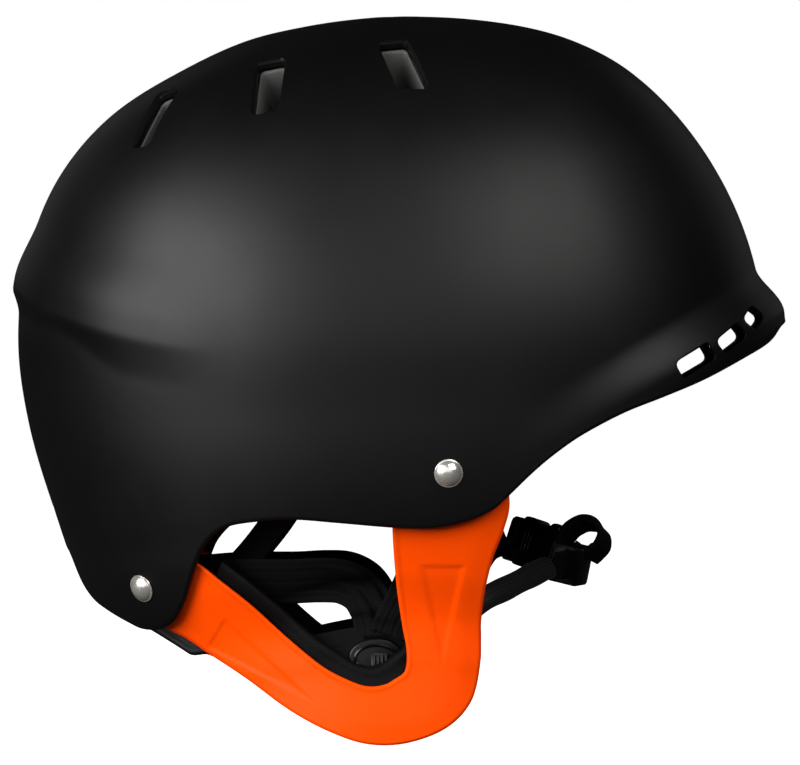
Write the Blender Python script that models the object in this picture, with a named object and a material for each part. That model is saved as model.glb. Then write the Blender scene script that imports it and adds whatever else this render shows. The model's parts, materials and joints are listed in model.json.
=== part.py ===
"""Hard-shell watersports helmet with orange ear guards, webbing harness and nape size adjuster.

Frame: +X forward, +Y to the wearer's left, +Z up. The origin is the point where the crown of the
head meets the crown pad. Inside this script lengths are in millimetres and heights are measured
from the lowest point of the ear guards, so world height = (z - SEAT_HEIGHT) / 1000.
"""

import math

import bmesh
import bpy
from mathutils import Matrix, Vector

# Driving dimensions, in millimetres and degrees.
SEAT_HEIGHT = 240.0
CENTRE = Vector((-4.0, 0.0, 150.0))
SHELL_THICKNESS = 3.0
LINER_GAP = 1.1
LINER_THICKNESS = 15.0
PLAN_ROUNDNESS = 2.2
GUARD_INSET = 4.1
GUARD_THICKNESS = 2.4
FOAM_INSET = 7.2
FOAM_THICKNESS = 6.4
WEB_THICKNESS = 1.3
WEB_HALF_WIDTH = 8.3
GAP = 0.4

# Radius of the shell from CENTRE against the angle from straight up, along three meridians.
FRONT_RADII = [
    (0, 121.6), (7, 122.5), (14, 124.4), (20, 126.7), (32, 132.2), (42, 135.6), (65, 138.8),
    (80, 140.6), (95, 142), (155, 150),
]
REAR_RADII = [
    (0, 121.6), (7, 121.3), (16, 122.2), (24, 124.2), (38, 127.9), (53, 135.1), (65, 138.8), (78, 139.8),
    (90, 139.8), (103, 139.4), (115, 140.9), (123.5, 145.0), (128, 149.5), (134, 154.0), (140, 157.0),
    (155, 163.0),
]
SIDE_RADII = [
    (0, 121.6), (10, 121.2), (25, 119.3), (45, 114.5), (67, 109.5), (90, 108), (105, 110), (125, 121),
    (133, 127.5), (140, 136), (145, 153), (149, 174), (155, 206),
]

# Lower edge of the shell seen from the side (x, z), from the brim tip back to the rear lobe.
RIM_OUTLINE = [
    (150, 158), (143.6, 154.6), (138.2, 148.2), (128.2, 142.2), (113.2, 134.3), (98.4, 128.2),
    (83.8, 122.6), (69.4, 115.2), (59.8, 108.8), (50.6, 101.3), (40.2, 91.3), (35, 86.9), (28.3, 83.5),
    (19.2, 80.9), (10.2, 79.8), (-3.3, 80.4), (-22, 82), (-38, 83.2), (-52, 82.4), (-63.8, 80),
    (-71.2, 73.4), (-74.5, 66.3), (-76.9, 59), (-79.3, 52), (-83, 45.5), (-88.6, 42), (-95, 41.8),
    (-101, 44.3), (-108, 48), (-114, 52.2), (-119, 59), (-124, 70),
]
NAPE_NOTCH_TOP = 86.5
NAPE_NOTCH_HALF_WIDTH = 12.0

# The brim's lower edge runs along this line: height at x = 40 and slope.
BRIM_LINE_HEIGHT = 90.0
BRIM_LINE_SLOPE = 0.59
BRIM_FLARE = 8.0
RIDGE_HEIGHT = 3.2

FRONT_RIVET = (18.7, 100.7)
REAR_RIVET = (-94.7, 57.8)
DIVIDER = (-8.0, 32.0)
SWING_PIVOT = Vector((-8.0, 0.0, 32.0))
DIVIDER_INSET = 16.2
DIAL_FACE = Vector((-124.4, 0.0, 76.0))
DIAL_AXIS = Vector((-math.cos(math.radians(20)), 0.0, -math.sin(math.radians(20))))


def clear_scene():
    for obj in list(bpy.data.objects):
        bpy.data.objects.remove(obj, do_unlink=True)


def world(point):
    return Vector((point[0], point[1], point[2] - SEAT_HEIGHT)) * 0.001


def smoothstep(low, high, value):
    t = min(1.0, max(0.0, (value - low) / (high - low)))
    return t * t * (3 - 2 * t)


def lookup(table, key):
    """Smooth curve through (key, value) pairs: a cubic with Catmull-Rom slopes."""
    last = len(table) - 1
    i = 0
    while i < last - 1 and key > table[i + 1][0]:
        i += 1
    (k0, v0), (k1, v1) = table[i], table[i + 1]
    before, after = table[max(0, i - 1)], table[min(last, i + 2)]
    slope0 = (v1 - before[1]) / (k1 - before[0])
    slope1 = (after[1] - v0) / (after[0] - k0)
    span = k1 - k0
    t = min(1.0, max(0.0, (key - k0) / span))
    h00 = 2 * t**3 - 3 * t**2 + 1
    h10 = t**3 - 2 * t**2 + t
    h01 = 3 * t**2 - 2 * t**3
    h11 = t**3 - t**2
    return h00 * v0 + h10 * span * slope0 + h01 * v1 + h11 * span * slope1


def spline(points, count):
    """count points spread evenly by index along a Catmull-Rom curve through the given points."""
    rows = [Vector(p) for p in points]
    last = len(rows) - 1
    result = []
    for k in range(count):
        s = k * last / (count - 1)
        i = min(int(s), last - 1)
        t = s - i
        a, b = rows[max(0, i - 1)], rows[i]
        c, d = rows[i + 1], rows[min(last, i + 2)]
        result.append(
            0.5 * (2 * b + (c - a) * t + (2 * a - 5 * b + 4 * c - d) * t**2
                   + (3 * b - a - 3 * c + d) * t**3)
        )
    return result


# The shell's surface ---------------------------------------------------------------------------


def direction(tilt, turn):
    """Unit vector: tilt in degrees from straight up, turn in degrees from straight ahead."""
    a, b = math.radians(tilt), math.radians(turn)
    return Vector((math.sin(a) * math.cos(b), math.sin(a) * math.sin(b), math.cos(a)))


def brim_height(x, z):
    """Distance above the brim's lower edge, square to that edge."""
    line = BRIM_LINE_HEIGHT + (x - 40.0) * BRIM_LINE_SLOPE
    return (z - line) / math.hypot(1.0, BRIM_LINE_SLOPE)


def brim_flare(x, z):
    along = smoothstep(35.0, 140.0, x)
    height = brim_height(x, z)
    rolled = 1.0 - 0.25 * smoothstep(8.0, 0.0, height)
    return BRIM_FLARE * along * rolled * smoothstep(27.0, 11.0, height)


def rear_ridge(x, z):
    """A soft ledge round the back: it swells over a line that climbs towards the rear."""
    back = max(0.0, min(1.0, (-64.0 - x) / 80.0))
    above = z - (144.5 + 19.5 * back**1.6)
    rise = smoothstep(-3.0, 9.0, above) * smoothstep(32.0, 9.0, above)
    return RIDGE_HEIGHT * smoothstep(-55.0, -125.0, x) * rise


def shell_radius(tilt, turn, detailed=True):
    """Distance from CENTRE to the outer surface; without detail it leaves out brim and ledge."""
    cos_turn = math.cos(math.radians(turn))
    sin_turn = abs(math.sin(math.radians(turn)))
    fore_aft = lookup(FRONT_RADII if cos_turn > 0 else REAR_RADII, tilt)
    side = lookup(SIDE_RADII, tilt)
    n = 2.0 + (PLAN_ROUNDNESS - 2.0) * smoothstep(10.0, 60.0, tilt)
    base = ((abs(cos_turn) / fore_aft) ** n + (sin_turn / side) ** n) ** (-1 / n)
    if not detailed:
        return base
    point = CENTRE + direction(tilt, turn) * base
    return base + brim_flare(point.x, point.z) + rear_ridge(point.x, point.z)


def shell_point(tilt, turn, inset=0.0):
    """A point on the shell's outer surface, or that far inside it, square to the surface.

    What lies inside the shell follows its plain form, without the brim's flare or the rear ledge.
    """
    detailed = inset <= SHELL_THICKNESS
    point = CENTRE + direction(tilt, turn) * shell_radius(tilt, turn, detailed)
    if inset == 0.0:
        return point
    return point - shell_normal(tilt, turn, detailed) * inset


def shell_normal(tilt, turn, detailed=True):
    step = 0.7
    tilt = max(tilt, 2.0)
    around = []
    for a, b in ((tilt + step, turn), (tilt - step, turn), (tilt, turn + step), (tilt, turn - step)):
        around.append(direction(a, b) * shell_radius(a, b, detailed))
    return (around[0] - around[1]).cross(around[2] - around[3]).normalized()


def angles_of(point):
    ray = point - CENTRE
    tilt = math.degrees(math.acos(max(-1.0, min(1.0, ray.z / ray.length))))
    return tilt, math.degrees(math.atan2(ray.y, ray.x))


def side_point(x, z, side, inset=0.0):
    """The point with this x and z on the left (side 1) or right (side -1), inset from the shell."""
    low, high = 2.0, 150.0
    detailed = inset <= SHELL_THICKNESS
    for _ in range(26):
        y = (low + high) / 2
        ray = Vector((x, y, z)) - CENTRE
        angles = angles_of(ray + CENTRE)
        slant = ray.normalized().dot(shell_normal(*angles, detailed))
        if (shell_radius(*angles, detailed) - ray.length) * slant > inset:
            low = y
        else:
            high = y
    return Vector((x, side * low, z))


def side_normal(x, z, side):
    point = side_point(x, z, 1)
    normal = shell_normal(*angles_of(point))
    return Vector((normal.x, side * normal.y, normal.z))


# Mesh helpers ----------------------------------------------------------------------------------


def material(name, colour, roughness, metallic=0.0):
    mat = bpy.data.materials.get(name) or bpy.data.materials.new(name)
    mat.use_nodes = True
    shader = mat.node_tree.nodes["Principled BSDF"]
    shader.inputs["Base Color"].default_value = (*colour, 1.0)
    shader.inputs["Roughness"].default_value = roughness
    shader.inputs["Metallic"].default_value = metallic
    return mat


def add_object(name, mesh, mat, origin):
    obj = bpy.data.objects.new(name, mesh)
    obj.location = world(origin)
    bpy.context.scene.collection.objects.link(obj)
    mesh.materials.append(mat)
    return obj


def mesh_object(name, points, faces, mat, origin=(0.0, 0.0, SEAT_HEIGHT)):
    """One object from points in millimetres; its origin is where a moving piece turns or slides."""
    mesh = bpy.data.meshes.new(name)
    base = world(origin)
    mesh.from_pydata([world(p) - base for p in points], [], faces)
    bm = bmesh.new()
    bm.from_mesh(mesh)
    bmesh.ops.recalc_face_normals(bm, faces=bm.faces)
    bm.to_mesh(mesh)
    bm.free()
    mesh.shade_smooth()
    mesh.set_sharp_from_angle(angle=math.radians(35))
    return add_object(name, mesh, mat, origin)


def grid_faces(rows, columns, start, wrap, flip):
    faces = []
    for i in range(rows - 1):
        for j in range(columns if wrap else columns - 1):
            k = (j + 1) % columns
            face = [start + i * columns + j, start + (i + 1) * columns + j,
                    start + (i + 1) * columns + k, start + i * columns + k]
            faces.append(face[::-1] if flip else face)
    return faces


def slab(name, outer, inner, mat, origin=(0.0, 0.0, SEAT_HEIGHT)):
    """A closed plate between two grids of points that have the same rows and columns."""
    rows, columns = len(outer), len(outer[0])
    count = rows * columns
    points = [p for row in outer for p in row] + [p for row in inner for p in row]
    faces = grid_faces(rows, columns, 0, False, False) + grid_faces(rows, columns, count, False, True)
    border = [(0, j) for j in range(columns)]
    border += [(i, columns - 1) for i in range(1, rows)]
    border += [(rows - 1, j) for j in range(columns - 2, -1, -1)]
    border += [(i, 0) for i in range(rows - 2, 0, -1)]
    for (i, j), (k, m) in zip(border, border[1:] + border[:1]):
        a, b = i * columns + j, k * columns + m
        faces.append([a, b, count + b, count + a])
    return mesh_object(name, points, faces, mat, origin)


def dome(name, outer, inner, outer_pole, inner_pole, mat):
    """A closed bowl between two grids whose rows are rings, each grid ending in a pole."""
    rows, columns = len(outer), len(outer[0])
    count = rows * columns
    points = [p for row in outer for p in row] + [p for row in inner for p in row]
    points += [outer_pole, inner_pole]
    faces = grid_faces(rows, columns, 0, True, False) + grid_faces(rows, columns, count, True, True)
    for j in range(columns):
        k = (j + 1) % columns
        faces.append([2 * count, j, k])
        faces.append([2 * count + 1, count + k, count + j])
        a, b = (rows - 1) * columns + j, (rows - 1) * columns + k
        faces.append([a, count + a, count + b, b])
    return mesh_object(name, points, faces, mat)


def band(name, centres, across, through, mat, origin=(0.0, 0.0, SEAT_HEIGHT)):
    """A flat strap: its middle line, half-width vectors and half-thickness vectors per station."""
    outer = [[c - w + t, c + w + t] for c, w, t in zip(centres, across, through)]
    inner = [[c - w - t, c + w - t] for c, w, t in zip(centres, across, through)]
    return slab(name, outer, inner, mat, origin)


def axis_matrix(origin, axis, hint=(0.0, 0.0, 1.0)):
    """Matrix in millimetres whose local Z is the axis and whose local X leans towards the hint."""
    z = Vector(axis).normalized()
    x = Vector(hint)
    x = (x - z * x.dot(z)).normalized()
    y = z.cross(x)
    matrix = Matrix((x, y, z)).transposed().to_4x4()
    matrix.translation = Vector(origin)
    return matrix


def lathe(name, profile, matrix, mat, origin, segments=20):
    """A turned solid from (radius, height) pairs, the first and last on the axis."""
    points = [matrix @ Vector((0, 0, profile[0][1]))]
    for radius, height in profile[1:-1]:
        for k in range(segments):
            a = 2 * math.pi * k / segments
            points.append(matrix @ Vector((radius * math.cos(a), radius * math.sin(a), height)))
    points.append(matrix @ Vector((0, 0, profile[-1][1])))
    rings = len(profile) - 2
    last = len(points) - 1
    faces = grid_faces(rings, segments, 1, True, False)
    for k in range(segments):
        m = (k + 1) % segments
        faces.append([0, 1 + k, 1 + m])
        faces.append([last, 1 + (rings - 1) * segments + m, 1 + (rings - 1) * segments + k])
    return mesh_object(name, points, faces, mat, origin)


def ring(name, inner, outer, low, high, matrix, mat, origin, segments=16):
    """A flat washer between two radii and two heights."""
    profile = [(outer, high), (outer, low), (inner, low), (inner, high)]
    points = []
    for radius, height in profile:
        for k in range(segments):
            a = 2 * math.pi * k / segments
            points.append(matrix @ Vector((radius * math.cos(a), radius * math.sin(a), height)))
    faces = []
    for i in range(4):
        for k in range(segments):
            m = (k + 1) % segments
            n = (i + 1) % 4
            faces.append([i * segments + k, n * segments + k, n * segments + m, i * segments + m])
    return mesh_object(name, points, faces, mat, origin)


def prism(name, outline, low, high, matrix, mat, origin=(0.0, 0.0, SEAT_HEIGHT)):
    """An outline in local X and Y, extruded along local Z from low to high."""
    n = len(outline)
    points = [matrix @ Vector((x, y, low)) for x, y in outline]
    points += [matrix @ Vector((x, y, high)) for x, y in outline]
    faces = [list(range(n))[::-1], list(range(n, 2 * n))]
    faces += [[i, (i + 1) % n, n + (i + 1) % n, n + i] for i in range(n)]
    return mesh_object(name, points, faces, mat, origin)


def rounded_rectangle(length, width, radius, steps=3):
    outline = []
    for corner in range(4):
        cx = (length / 2 - radius) * (1 if corner in (0, 3) else -1)
        cy = (width / 2 - radius) * (1 if corner < 2 else -1)
        for k in range(steps + 1):
            a = math.pi / 2 * (corner + k / steps)
            outline.append((cx + radius * math.cos(a), cy + radius * math.sin(a)))
    return outline


def as_cutter(obj):
    obj.hide_render = True
    obj.display_type = "WIRE"
    return obj


def cut(target, cutter):
    modifier = target.modifiers.new("cut_" + cutter.name, "BOOLEAN")
    modifier.operation = "DIFFERENCE"
    modifier.solver = "EXACT"
    modifier.object = cutter


def joined(name, pieces):
    """Several cutters in one object; they don't touch each other."""
    bm = bmesh.new()
    for piece in pieces:
        piece.data.transform(Matrix.Translation(piece.location))
        bm.from_mesh(piece.data)
        bpy.data.objects.remove(piece, do_unlink=True)
    mesh = bpy.data.meshes.new(name)
    bm.to_mesh(mesh)
    bm.free()
    obj = bpy.data.objects.new(name, mesh)
    bpy.context.scene.collection.objects.link(obj)
    return as_cutter(obj)


# Materials -------------------------------------------------------------------------------------

clear_scene()
MATTE_BLACK = material("shell_black", (0.012, 0.012, 0.013), 0.38)
EPP_GREY = material("liner_grey", (0.06, 0.06, 0.062), 0.85)
PAD_BLACK = material("pad_black", (0.018, 0.018, 0.02), 0.95)
ORANGE = material("guard_orange", (1.0, 0.09, 0.0), 0.42)
FOAM_BLACK = material("foam_black", (0.02, 0.02, 0.021), 0.9)
NICKEL = material("rivet_nickel", (0.75, 0.72, 0.68), 0.12, 1.0)
WEBBING = material("webbing_black", (0.01, 0.01, 0.011), 0.75)
HARD_BLACK = material("buckle_black", (0.012, 0.012, 0.013), 0.35)


# Shell and liner -------------------------------------------------------------------------------


def inside_rim(point):
    """True where the shell's outline, seen from the side and from behind, covers the point."""
    x, z = point.x, point.z
    if x > 149.0:
        return False
    if x < -60.0 and abs(point.y) < 45.0:
        side = abs(point.y) - NAPE_NOTCH_HALF_WIDTH
        arch = NAPE_NOTCH_TOP - 52.0 * math.sqrt(min(1.0, max(0.0, side) / 12.0))
        if z < arch:
            return False
    if x < RIM_OUTLINE[-1][0]:
        return z > RIM_OUTLINE[-1][1]
    inside = False
    polygon = [(150.0, 400.0)] + RIM_OUTLINE + [(-400.0, 70.0), (-400.0, 400.0)]
    for (x0, z0), (x1, z1) in zip(polygon, polygon[1:] + polygon[:1]):
        if (z0 > z) != (z1 > z) and x < x0 + (z - z0) * (x1 - x0) / (z1 - z0):
            inside = not inside
    return inside


def rim_tilt(turn):
    low, high = 60.0, 150.0
    tilt = low
    while tilt < high and inside_rim(shell_point(tilt, turn)):
        tilt += 1.0
    low, high = tilt - 1.0, tilt
    for _ in range(14):
        middle = (low + high) / 2
        if inside_rim(shell_point(middle, turn)):
            low = middle
        else:
            high = middle
    return low


def column_turns(spacing):
    """Angles round the shell: spacing holds (end angle, step count) pairs from front to back."""
    half = [0.0]
    for end, steps in spacing:
        start = half[-1]
        half += [start + (end - start) * k / steps for k in range(1, steps + 1)]
    return half + [360.0 - a for a in half[-2:0:-1]]


def dome_rows(turns, rim_tilts, rows, first, inset):
    grid = []
    for i in range(rows):
        share = 1 - (1 - i / (rows - 1)) ** 1.12
        ring_points = []
        for turn, rim in zip(turns, rim_tilts):
            ring_points.append(shell_point(first + (rim - first) * share, turn, inset))
        grid.append(ring_points)
    return grid


VENTS = [
    # Side view of each vent's middle line: upper end (x, z), lower end (x, z).
    ((-86.5, 241.5), (-96.5, 222.0)),
    ((-48.0, 252.5), (-49.8, 234.5)),
    ((-3.0, 259.8), (5.2, 243.2)),
]
VENT_WIDTH = 9.6
BRIM_SLOTS = [
    # Side view of each slot: centre (x, z), length, height and slant in degrees.
    (109.5, 141.9, 14.3, 6.6, 31.0),
    (123.1, 150.1, 10.6, 6.1, 38.5),
    (131.6, 157.8, 6.1, 6.1, 52.0),
]


def vent_cutters(name, margin):
    """Rounded prisms square to the shell at each vent; margin narrows them for the liner."""
    pieces = []
    for side in (1, -1):
        for upper, lower in VENTS:
            top = side_point(*upper, side)
            bottom = side_point(*lower, side)
            middle = (top + bottom) / 2
            normal = side_normal(middle.x, middle.z, side)
            frame = axis_matrix(middle, normal, top - bottom)
            length = (top - bottom).length - 2 * margin
            outline = rounded_rectangle(length, VENT_WIDTH - 2 * margin, 2.2, 2)
            pieces.append(prism("vent_cutter", outline, -32.0, 9.0, frame, HARD_BLACK))
    return joined(name, pieces)


def slot_cutters():
    """Each slot runs straight across the helmet, as a side core leaves it."""
    pieces = []
    for x, z, length, height, slant in BRIM_SLOTS:
        angle = math.radians(slant)
        along = (math.cos(angle), 0.0, math.sin(angle))
        frame = axis_matrix((x, 0.0, z), (0.0, -1.0, 0.0), along)
        outline = rounded_rectangle(length, height, 1.6, 2)
        pieces.append(prism("slot_cutter", outline, -115.0, 115.0, frame, HARD_BLACK))
    return joined("brim_slot_cutters", pieces)


def rivet_frame(place, side):
    return axis_matrix(side_point(*place, side), side_normal(*place, side))


def rivet_cutters(name, sides):
    pieces = []
    for side in sides:
        for place in (FRONT_RIVET, REAR_RIVET):
            outline = [(2.4 * math.cos(a * math.pi / 6), 2.4 * math.sin(a * math.pi / 6)) for a in range(12)]
            pieces.append(prism("rivet_cutter", outline, -13.0, 6.0, rivet_frame(place, side), HARD_BLACK))
    return joined(name, pieces)


def build_shell():
    turns = column_turns([(120, 14), (142, 8), (162, 4), (170, 4), (180, 3)])
    rims = [rim_tilt(turn) for turn in turns]
    outer = dome_rows(turns, rims, 17, 9.0, 0.0)
    inner = dome_rows(turns, rims, 17, 9.0, SHELL_THICKNESS)
    shell = dome("outer_shell", outer, inner, shell_point(0, 0), shell_point(0, 0, SHELL_THICKNESS),
                 MATTE_BLACK)
    cut(shell, vent_cutters("shell_vent_cutters", 0.0))
    cut(shell, slot_cutters())
    cut(shell, rivet_cutters("shell_rivet_cutters", (1, -1)))


LINER_BOTTOM = [
    (-150, 101), (-80, 101), (-30, 106), (10, 113), (40, 124), (80, 151), (105, 170), (130, 184),
]


def liner_tilt(turn):
    low, high = 40.0, 130.0
    for _ in range(20):
        middle = (low + high) / 2
        point = shell_point(middle, turn)
        if point.z > lookup(LINER_BOTTOM, point.x):
            low = middle
        else:
            high = middle
    return low


def build_liner():
    turns = column_turns([(180, 20)])
    rims = [liner_tilt(turn) for turn in turns]
    outside = SHELL_THICKNESS + LINER_GAP
    inside = outside + LINER_THICKNESS
    outer = dome_rows(turns, rims, 11, 12.0, outside)
    inner = dome_rows(turns, rims, 11, 12.0, inside)
    liner = dome("foam_liner", outer, inner, shell_point(0, 0, outside), shell_point(0, 0, inside),
                 EPP_GREY)
    cut(liner, vent_cutters("liner_vent_cutters", 1.4))


PAD_INSET = SHELL_THICKNESS + LINER_GAP + LINER_THICKNESS + 1.3


def patch(name, turn_range, tilt_range, thickness, columns, rows, mat):
    """A comfort pad that follows the liner's inside between these angles, with eased corners."""
    outer, inner = [], []
    for i in range(rows):
        t = 2 * i / (rows - 1) - 1
        ease = 1 - 0.12 * abs(t) ** 4
        front, back = [], []
        for j in range(columns):
            s = (2 * j / (columns - 1) - 1) * ease
            turn = sum(turn_range) / 2 + s * (turn_range[1] - turn_range[0]) / 2
            tilt = sum(tilt_range) / 2 + t * (1 - 0.1 * abs(s) ** 4) * (tilt_range[1] - tilt_range[0]) / 2
            edge = max(abs(s), abs(t)) ** 6
            back.append(shell_point(tilt, turn, PAD_INSET))
            front.append(shell_point(tilt, turn, PAD_INSET + thickness * (1 - 0.45 * edge)))
        outer.append(back)
        inner.append(front)
    return slab(name, outer, inner, mat)


def build_pads():
    patch("brow_pad", (-42, 42), (62, 74), 6.0, 11, 4, PAD_BLACK)
    patch("side_pad_left", (62, 112), (66, 96), 6.0, 7, 5, PAD_BLACK)
    patch("side_pad_right", (-112, -62), (66, 96), 6.0, 7, 5, PAD_BLACK)
    patch("rear_pad", (150, 210), (82, 104), 6.0, 9, 4, PAD_BLACK)
    build_crown_pad()


def build_crown_pad():
    """A round pad, domed to the liner on top and flat underneath where the head bears."""
    radius, segments = 26.0, 20
    profile = [(r, r * r) for r in (6.0, 13.0, 20.0, radius)]
    liner_top = shell_point(0, 0, PAD_INSET).z
    points = [Vector((0, 0, liner_top))]
    for r, square in profile:
        height = liner_top - 0.3 - square / 150.0
        for k in range(segments):
            a = 2 * math.pi * k / segments
            points.append(Vector((r * math.cos(a), r * math.sin(a), height)))
    for k in range(segments):
        a = 2 * math.pi * k / segments
        points.append(Vector((radius * math.cos(a), radius * math.sin(a), SEAT_HEIGHT)))
    rings = len(profile) + 1
    faces = grid_faces(rings, segments, 1, True, False)
    faces += [[0, 1 + k, 1 + (k + 1) % segments] for k in range(segments)]
    faces.append([1 + (rings - 1) * segments + k for k in range(segments)])
    mesh_object("crown_pad", points, faces, PAD_BLACK)


# Ear guards and their foam ---------------------------------------------------------------------

# Matching points on the guard's outer and inner edges seen from the side, front leg to rear leg.
GUARD_OUTER = [
    (37, 109.5), (41, 91), (39, 80), (35.2, 70), (32.2, 58), (30.6, 45), (30.4, 31), (27, 16.5),
    (17.8, 6.8), (3.4, 1.4), (-11, 1.0), (-25, 5.4), (-40, 13.2), (-56, 24.5), (-69, 32.8),
    (-79, 39.3), (-88, 43.2), (-97, 47.4),
]
GUARD_INNER = [
    (0, 109.5), (-1.6, 92), (-1.9, 80.2), (-1.3, 69), (-0.2, 57), (1.5, 45), (3.2, 35.2),
    (2.6, 28), (-0.9, 25), (-5, 22.8), (-11, 22.2), (-18, 24.4), (-28, 29.7), (-41, 40.2),
    (-53.5, 51.6), (-65, 60.7), (-74, 67.5), (-87.5, 73.5),
]
FOAM_OUTER = [
    (30.4, 80.5), (29, 71), (27, 58), (26, 45), (25.5, 32), (21, 19), (13, 10), (1, 5.2), (-11, 4.6),
    (-24, 9), (-38.5, 16.8), (-54.5, 28), (-67, 36), (-76, 42),
]
FOAM_INNER = [
    (5, 80.5), (3.5, 70), (4, 57), (4.6, 46), (3, 38), (-2.5, 33), (-7, 30), (-11, 29.3),
    (-16, 30.8), (-22, 34.5), (-31.5, 41), (-43, 51), (-55, 61.2), (-64.5, 68.5),
]


def side_plate(name, first_edge, second_edge, stations, across, inset, thickness, side, mat):
    """A plate that follows the helmet's side between two edges drawn in side view."""
    edges = zip(spline(first_edge, stations), spline(second_edge, stations))
    outer, inner = [], []
    for a, b in edges:
        line = [a.lerp(b, k / (across - 1)) for k in range(across)]
        outer.append([side_point(p.x, p.y, side, inset) for p in line])
        inner.append([side_point(p.x, p.y, side, inset + thickness) for p in line])
    return slab(name, outer, inner, mat)


def build_ear_guards():
    for side, word in ((1, "left"), (-1, "right")):
        guard = side_plate("ear_guard_" + word, GUARD_OUTER, GUARD_INNER, 30, 4, GUARD_INSET,
                           GUARD_THICKNESS, side, ORANGE)
        cut(guard, rivet_cutters("guard_rivet_cutters_" + word, (side,)))
        side_plate("ear_foam_" + word, FOAM_OUTER, FOAM_INNER, 26, 4, FOAM_INSET,
                   FOAM_THICKNESS, side, FOAM_BLACK)


# Rivets and washers ----------------------------------------------------------------------------

CAP_RADIUS = 5.2
POST_RADIUS = 2.0
STRAP_END_INSET = 7.7
WASHER_INSET = STRAP_END_INSET + WEB_THICKNESS + GAP
POST_END = WASHER_INSET + 1.0 + GAP


def build_rivets():
    cap = [(0.0, 2.9), (1.6, 2.75), (3.0, 2.3), (4.2, 1.6), (4.95, 0.85), (CAP_RADIUS, 0.45)]
    stem = [(POST_RADIUS, 0.4), (POST_RADIUS, -POST_END), (3.4, -POST_END), (3.4, -POST_END - 0.8)]
    for side, word in ((1, "left"), (-1, "right")):
        for place, which in ((FRONT_RIVET, "front"), (REAR_RIVET, "rear")):
            frame = rivet_frame(place, side)
            profile = cap + stem + [(0.0, -POST_END - 0.8)]
            origin = frame.translation
            lathe(f"{which}_rivet_{word}", profile, frame, NICKEL, origin, 20)
            ring(f"{which}_washer_{word}", POST_RADIUS + 0.3, 5.0, -WASHER_INSET - 1.0, -WASHER_INSET,
                 frame, NICKEL, origin)


# Webbing ---------------------------------------------------------------------------------------

# Middle lines in side view: (x, z, inset).
REAR_STRAP = [
    (-98, 57.4, 7.3), (-91, 57.8, 7.3), (-84, 58.4, 7.6), (-78, 59.0, 10.6), (-72.5, 59.6, 14.8),
    (-64, 60.2, 16.4), (-52, 60.4, 16.4), (-40, 60.4, 16.4), (-29, 60.9, 16.4), (-20.5, 60.3, 16.4),
    (-13.6, 56.6, 16.4), (-9.8, 50.6, 16.4), (-8.3, 45.5, 16.4), (-8, 40.6, 16.4),
]
FRONT_STRAP = [
    (18.7, 107.5, 7.3), (18.5, 97, 7.3), (17.5, 89.5, 11), (15, 82, 14.4), (10, 68, 14.4),
    (4, 54, 14.4), (-0.6, 45, 14.4), (-2.2, 40.6, 14.4),
]


def side_band(name, path, stations, half_width, side, mat):
    points = spline(path, stations)
    outer, inner = [], []
    for i, p in enumerate(points):
        ahead = points[min(i + 1, stations - 1)]
        behind = points[max(i - 1, 0)]
        run = Vector((ahead.x - behind.x, ahead.y - behind.y)).normalized() * half_width
        ends = [(p.x - run.y * k, p.y + run.x * k) for k in (1.0, 1 / 3, -1 / 3, -1.0)]
        outer.append([side_point(x, z, side, p.z) for x, z in ends])
        inner.append([side_point(x, z, side, p.z + WEB_THICKNESS) for x, z in ends])
    return slab(name, outer, inner, mat)


def build_side_straps():
    for side, word in ((1, "left"), (-1, "right")):
        rear = side_band("rear_strap_" + word, REAR_STRAP, 27, WEB_HALF_WIDTH, side, WEBBING)
        cut(rear, rivet_cutters("rear_strap_cutters_" + word, (side,)))
        front = side_band("front_strap_" + word, FRONT_STRAP, 14, WEB_HALF_WIDTH, side, WEBBING)
        cut(front, rivet_cutters("front_strap_cutters_" + word, (side,)))


def divider_frame(side):
    centre = side_point(*DIVIDER, side, DIVIDER_INSET + 2.6)
    return axis_matrix(centre, (0, side, 0), (1, 0, 0))


def build_dividers():
    for side, word in ((1, "left"), (-1, "right")):
        outline = [(10.4 * math.cos(a), 7.6 * math.sin(a))
                   for a in (2 * math.pi * k / 20 for k in range(20))]
        prism("strap_divider_" + word, outline, -2.6, 2.6, divider_frame(side), HARD_BLACK)


# Chin harness ----------------------------------------------------------------------------------

CHIN_RIGHT = [
    (4.8, -66.6, 34.0), (14, -66.0, 40), (24, -62, 48), (32, -56.2, 53.7), (40, -47.5, 57.5),
    (47, -38, 60.8), (53, -29, 63.6), (56.6, -23.4, 65.0),
]
CHIN_LEFT = [
    (4.8, 66.6, 34.0), (13, 66.2, 41.5), (24, 63, 54.5), (33, 57.5, 66), (40.0, 51.5, 72.6),
]
CHIN_WEBBING = [
    (57.3, -22.8, 65.0), (60.9, -13, 65.35), (64.2, -4, 65.7), (67.1, 4.0, 66.0), (67.4, 9.6, 67.2),
    (65.4, 14.4, 68.8),
]
ADJUSTER_CENTRE = Vector((64.2, -4.0, 65.7))
ADJUSTER_RUN = Vector((6.9, 18.8, 0.7))
WEB_WIDTH_HINT = Vector((0.2, -0.1, 1.0))
PLUG_END = Vector((41.6, 49.2, 74.4))
SOCKET_END = Vector((63.6, 16.8, 69.2))


def free_band(name, path, stations, half_width, thickness, hint, mat, origin):
    points = spline(path, stations)
    across, through = [], []
    for i, p in enumerate(points):
        run = (points[min(i + 1, stations - 1)] - points[max(i - 1, 0)]).normalized()
        wide = (Vector(hint) - run * run.dot(Vector(hint))).normalized()
        across.append(wide * half_width)
        through.append(run.cross(wide).normalized() * thickness / 2)
    return band(name, points, across, through, mat, origin)


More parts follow.
